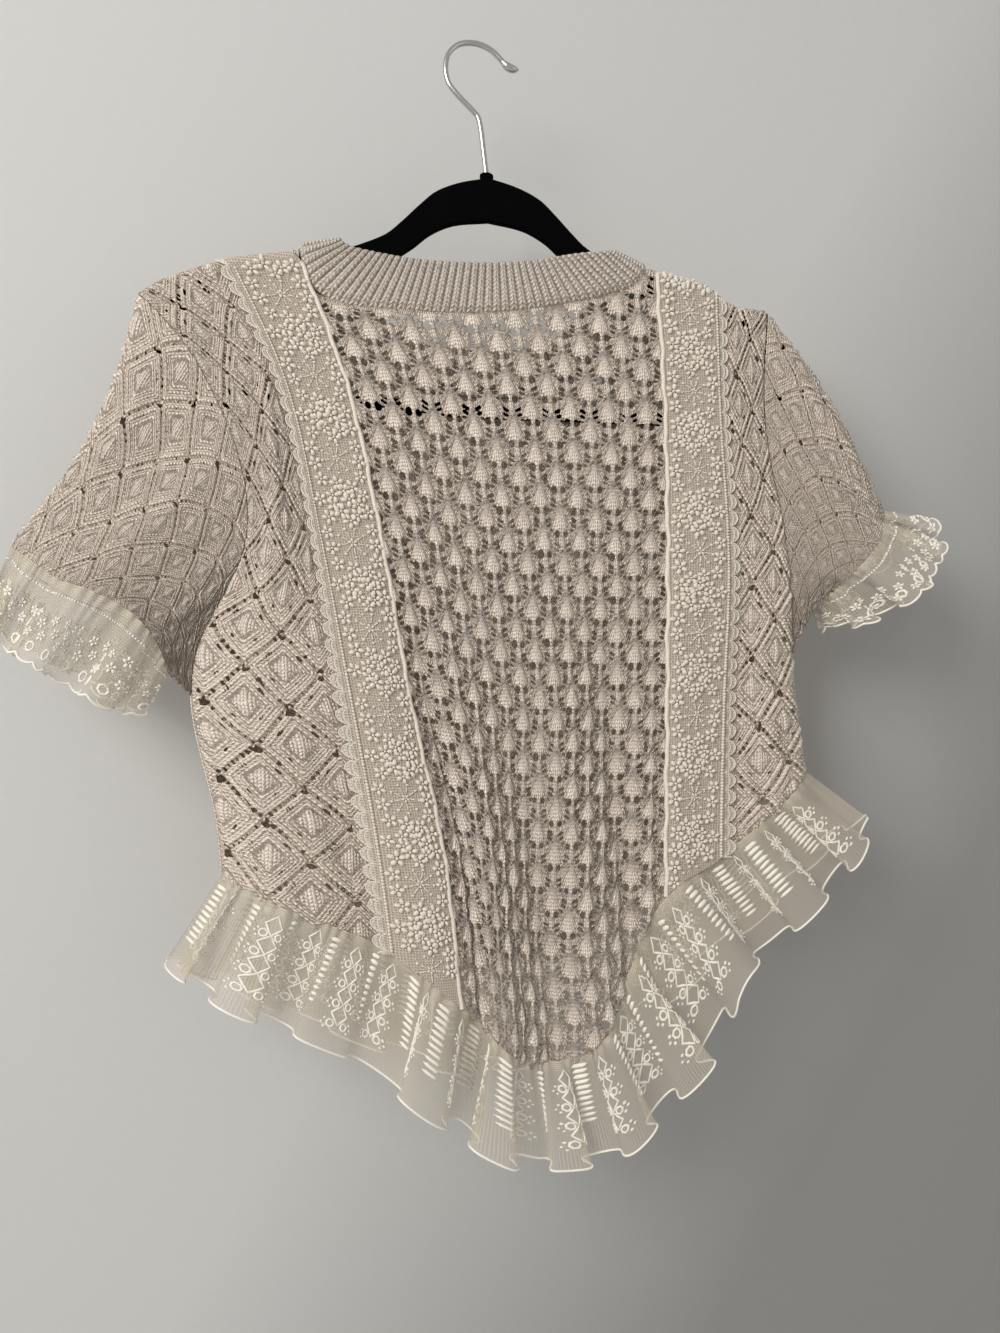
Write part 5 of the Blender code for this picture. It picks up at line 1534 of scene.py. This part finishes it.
for spec in SLEEVES:
    cut = spec["frill"]
    steps = (np.arange(CUFF_GRID[0] // 2) + 0.5) / (CUFF_GRID[0] // 2)
    base = ring_of(spec["cuff"], spec["cuff_depth"], steps)
    edge = ring_of(spec["edge_line"], spec["edge_depth"], steps)
    reach = edge - base
    base = base + reach * (RUFFLE_GAP / np.linalg.norm(reach, axis=1, keepdims=True))
    round_ring = np.roll(edge, -1, axis=0) - np.roll(edge, 1, axis=0)
    out = np.cross(round_ring, reach)
    out /= np.linalg.norm(out, axis=1, keepdims=True)
    grid = flutes(base, edge, CUFF_FLUTES, CUFF_GRID[1], CUFF_WAVE, out, False)
    rows, columns = grid.shape[:2]
    down = np.linspace(0, 1, rows)[:, None] + 0 * np.arange(columns)
    across = np.arange(columns) / columns + 0 * down
    lobes = 1 - np.abs(np.sin(math.pi * across * round(cut[0] / CUFF_SCALLOP))) ** 0.6
    fall = (edge - base) / np.linalg.norm(edge - base, axis=1, keepdims=True)
    grid = grid - fall[None] * (CUFF_SCALLOP_DEEP * lobes * down**5)[..., None]
    gathered = GATHERED_COVER * np.clip(1 - down / 0.15, 0, 1)
    normal = grid_normals(grid, True)
    ruffle = knit_piece("cuff_ruffle_" + spec["side"] + "_tulle", grid, normal, 0 * gathered,
                        np.full_like(down, -1.0), (across * cut[0], down * cut[1]), tulle, closed=True)
    ruffle.data.attributes["relief"].data.foreach_set("value", gathered.ravel())
    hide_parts("cuff_ruffle_" + spec["side"])
    sprays = [(x + dx, 20 + dy, dx, 0.85) for x in np.arange(10, cut[0], SPRAY_STEP) for dx, dy in SPRAY]
    header = [(x, 8.0, 0.0, 0.8) for x in np.arange(1.0, cut[0], HEADER_STEP)]
    rings = [(x, cut[1] - 8.0, 0.0, 1.0)
             for x in np.arange(CUFF_SCALLOP / 2, cut[0], CUFF_SCALLOP)]
    embroidery = embroidered("cuff_ruffle_" + spec["side"] + "_embroidery",
                             [(sprays, floret, 0.1, 0.6, 11), (header, knot, 0.1, 0.2, 13),
                              (rings, link, 0.1, 0.2, 15)],
                             on_grid(grid, cut, closed=True), satin)
    cord = cord_along("cuff_ruffle_" + spec["side"] + "_edge_cord", grid[-1], EDGE_CORD, satin,
                      closed=True)

for motif in (floret, bud, picot, stalk, satin_bar, link, diamond, knot):
    bpy.data.objects.remove(motif)

# ================================================================ studio
# A plain pale wall and floor, with soft light from the upper left, a weak fill, a lamp behind the
# wall for the unseen front, and the camera at the photograph's viewing angle.
WALL_Y = 0.075
FLOOR_Z = -1.35
COVE = 0.30
WALL_COLOUR = (0.53, 0.525, 0.505, 1.0)
WALL_DIM = (0.255, 0.25, 0.24, 1.0)
WALL_TOP = 2.2
FLOOR_END = -4.0
HALF_WIDE = 3.2


def backdrop_finish():
    """Matt pale paint. A view from behind and all shadow rays pass through it.

    The wall's fall of light to its lower right is painted into its colour.
    """
    material, shader = new_finish("pale_backdrop", Roughness=0.9)
    tree = material.node_tree
    behind = add(tree, "ShaderNodeNewGeometry").outputs["Backfacing"]
    shadow = add(tree, "ShaderNodeLightPath").outputs["Is Shadow Ray"]
    passed = calc(tree, "MAXIMUM", behind, shadow)
    tree.links.new(calc(tree, "SUBTRACT", 1.0, passed), shader.inputs["Alpha"])
    place = add(tree, "ShaderNodeTexCoord").outputs["Object"]
    split = add(tree, "ShaderNodeSeparateXYZ", {0: place})
    lower = calc(tree, "MULTIPLY_ADD", split.outputs[2], -1.43, -0.76)
    away = calc(tree, "MULTIPLY_ADD", split.outputs[0], 2.31, lower, clamp=True)
    off_floor = calc(tree, "MULTIPLY_ADD", split.outputs[2], 4.0, 5.0, clamp=True)
    dim = calc(tree, "MULTIPLY", away, off_floor)
    tree.links.new(blended(tree, dim, WALL_COLOUR, WALL_DIM), shader.inputs["Base Color"])
    roller = add(tree, "ShaderNodeTexNoise", {"Vector": place, "Scale": 90.0, "Detail": 3.0}).outputs[0]
    bumped(tree, shader, roller, 0.12, 0.002)
    return material


profile = [(WALL_Y, WALL_TOP)]
profile += [(WALL_Y - COVE * (1 - math.cos(a)), FLOOR_Z + COVE * (1 - math.sin(a)))
            for a in np.linspace(0, math.pi / 2, 12)]
profile.append((FLOOR_END, FLOOR_Z))
points = [(x, y, z) for y, z in profile for x in (-HALF_WIDE, HALF_WIDE)]
faces = [[2 * k, 2 * k + 2, 2 * k + 3, 2 * k + 1] for k in range(len(profile) - 1)]
mesh = bpy.data.meshes.new("backdrop")
mesh.from_pydata(points, [], faces)
mesh.polygons.foreach_set("use_smooth", [True] * len(faces))
backdrop = bpy.data.objects.new("backdrop", mesh)
bpy.context.scene.collection.objects.link(backdrop)
mesh.materials.append(backdrop_finish())

world = bpy.data.worlds.new("soft_room")
world.use_nodes = True
world.node_tree.nodes["Background"].inputs[0].default_value = (0.99, 0.98, 1.0, 1.0)
world.node_tree.nodes["Background"].inputs[1].default_value = 0.48
bpy.context.scene.world = world

for name, place, turn, size, power, colour in (
        ("window_light", (-1.5, -1.6, 0.55), (68, 0, -42), 1.1, 44.0, (1.0, 0.99, 0.97)),
        ("room_fill", (1.6, -2.2, -0.2), (88, 0, 36), 2.0, 5.0, (1.0, 0.96, 0.9)),
        ("back_light", (1.3, 1.9, 0.5), (66, 0, 146), 1.4, 34.0, (1.0, 0.99, 0.97))):
    lamp = bpy.data.lights.new(name, "AREA")
    lamp.size, lamp.energy, lamp.color = size, power, colour
    light = bpy.data.objects.new(name, lamp)
    bpy.context.scene.collection.objects.link(light)
    light.location = place
    light.rotation_euler = [math.radians(a) for a in turn]

bpy.context.scene.view_settings.view_transform = "Standard"
FOCAL_PIXELS, LONG_SIDE = 1001.0, 1333.0
camera_data = bpy.data.cameras.new("camera")
camera_data.sensor_width = 36.0
camera_data.lens = 36.0 * FOCAL_PIXELS / LONG_SIDE
camera = bpy.data.objects.new("camera", camera_data)
bpy.context.scene.collection.objects.link(camera)
camera.location = (-0.0957, -0.6480, -0.4059)
camera.rotation_euler = (math.radians(90), 0, math.radians(-10))
bpy.context.scene.camera = camera
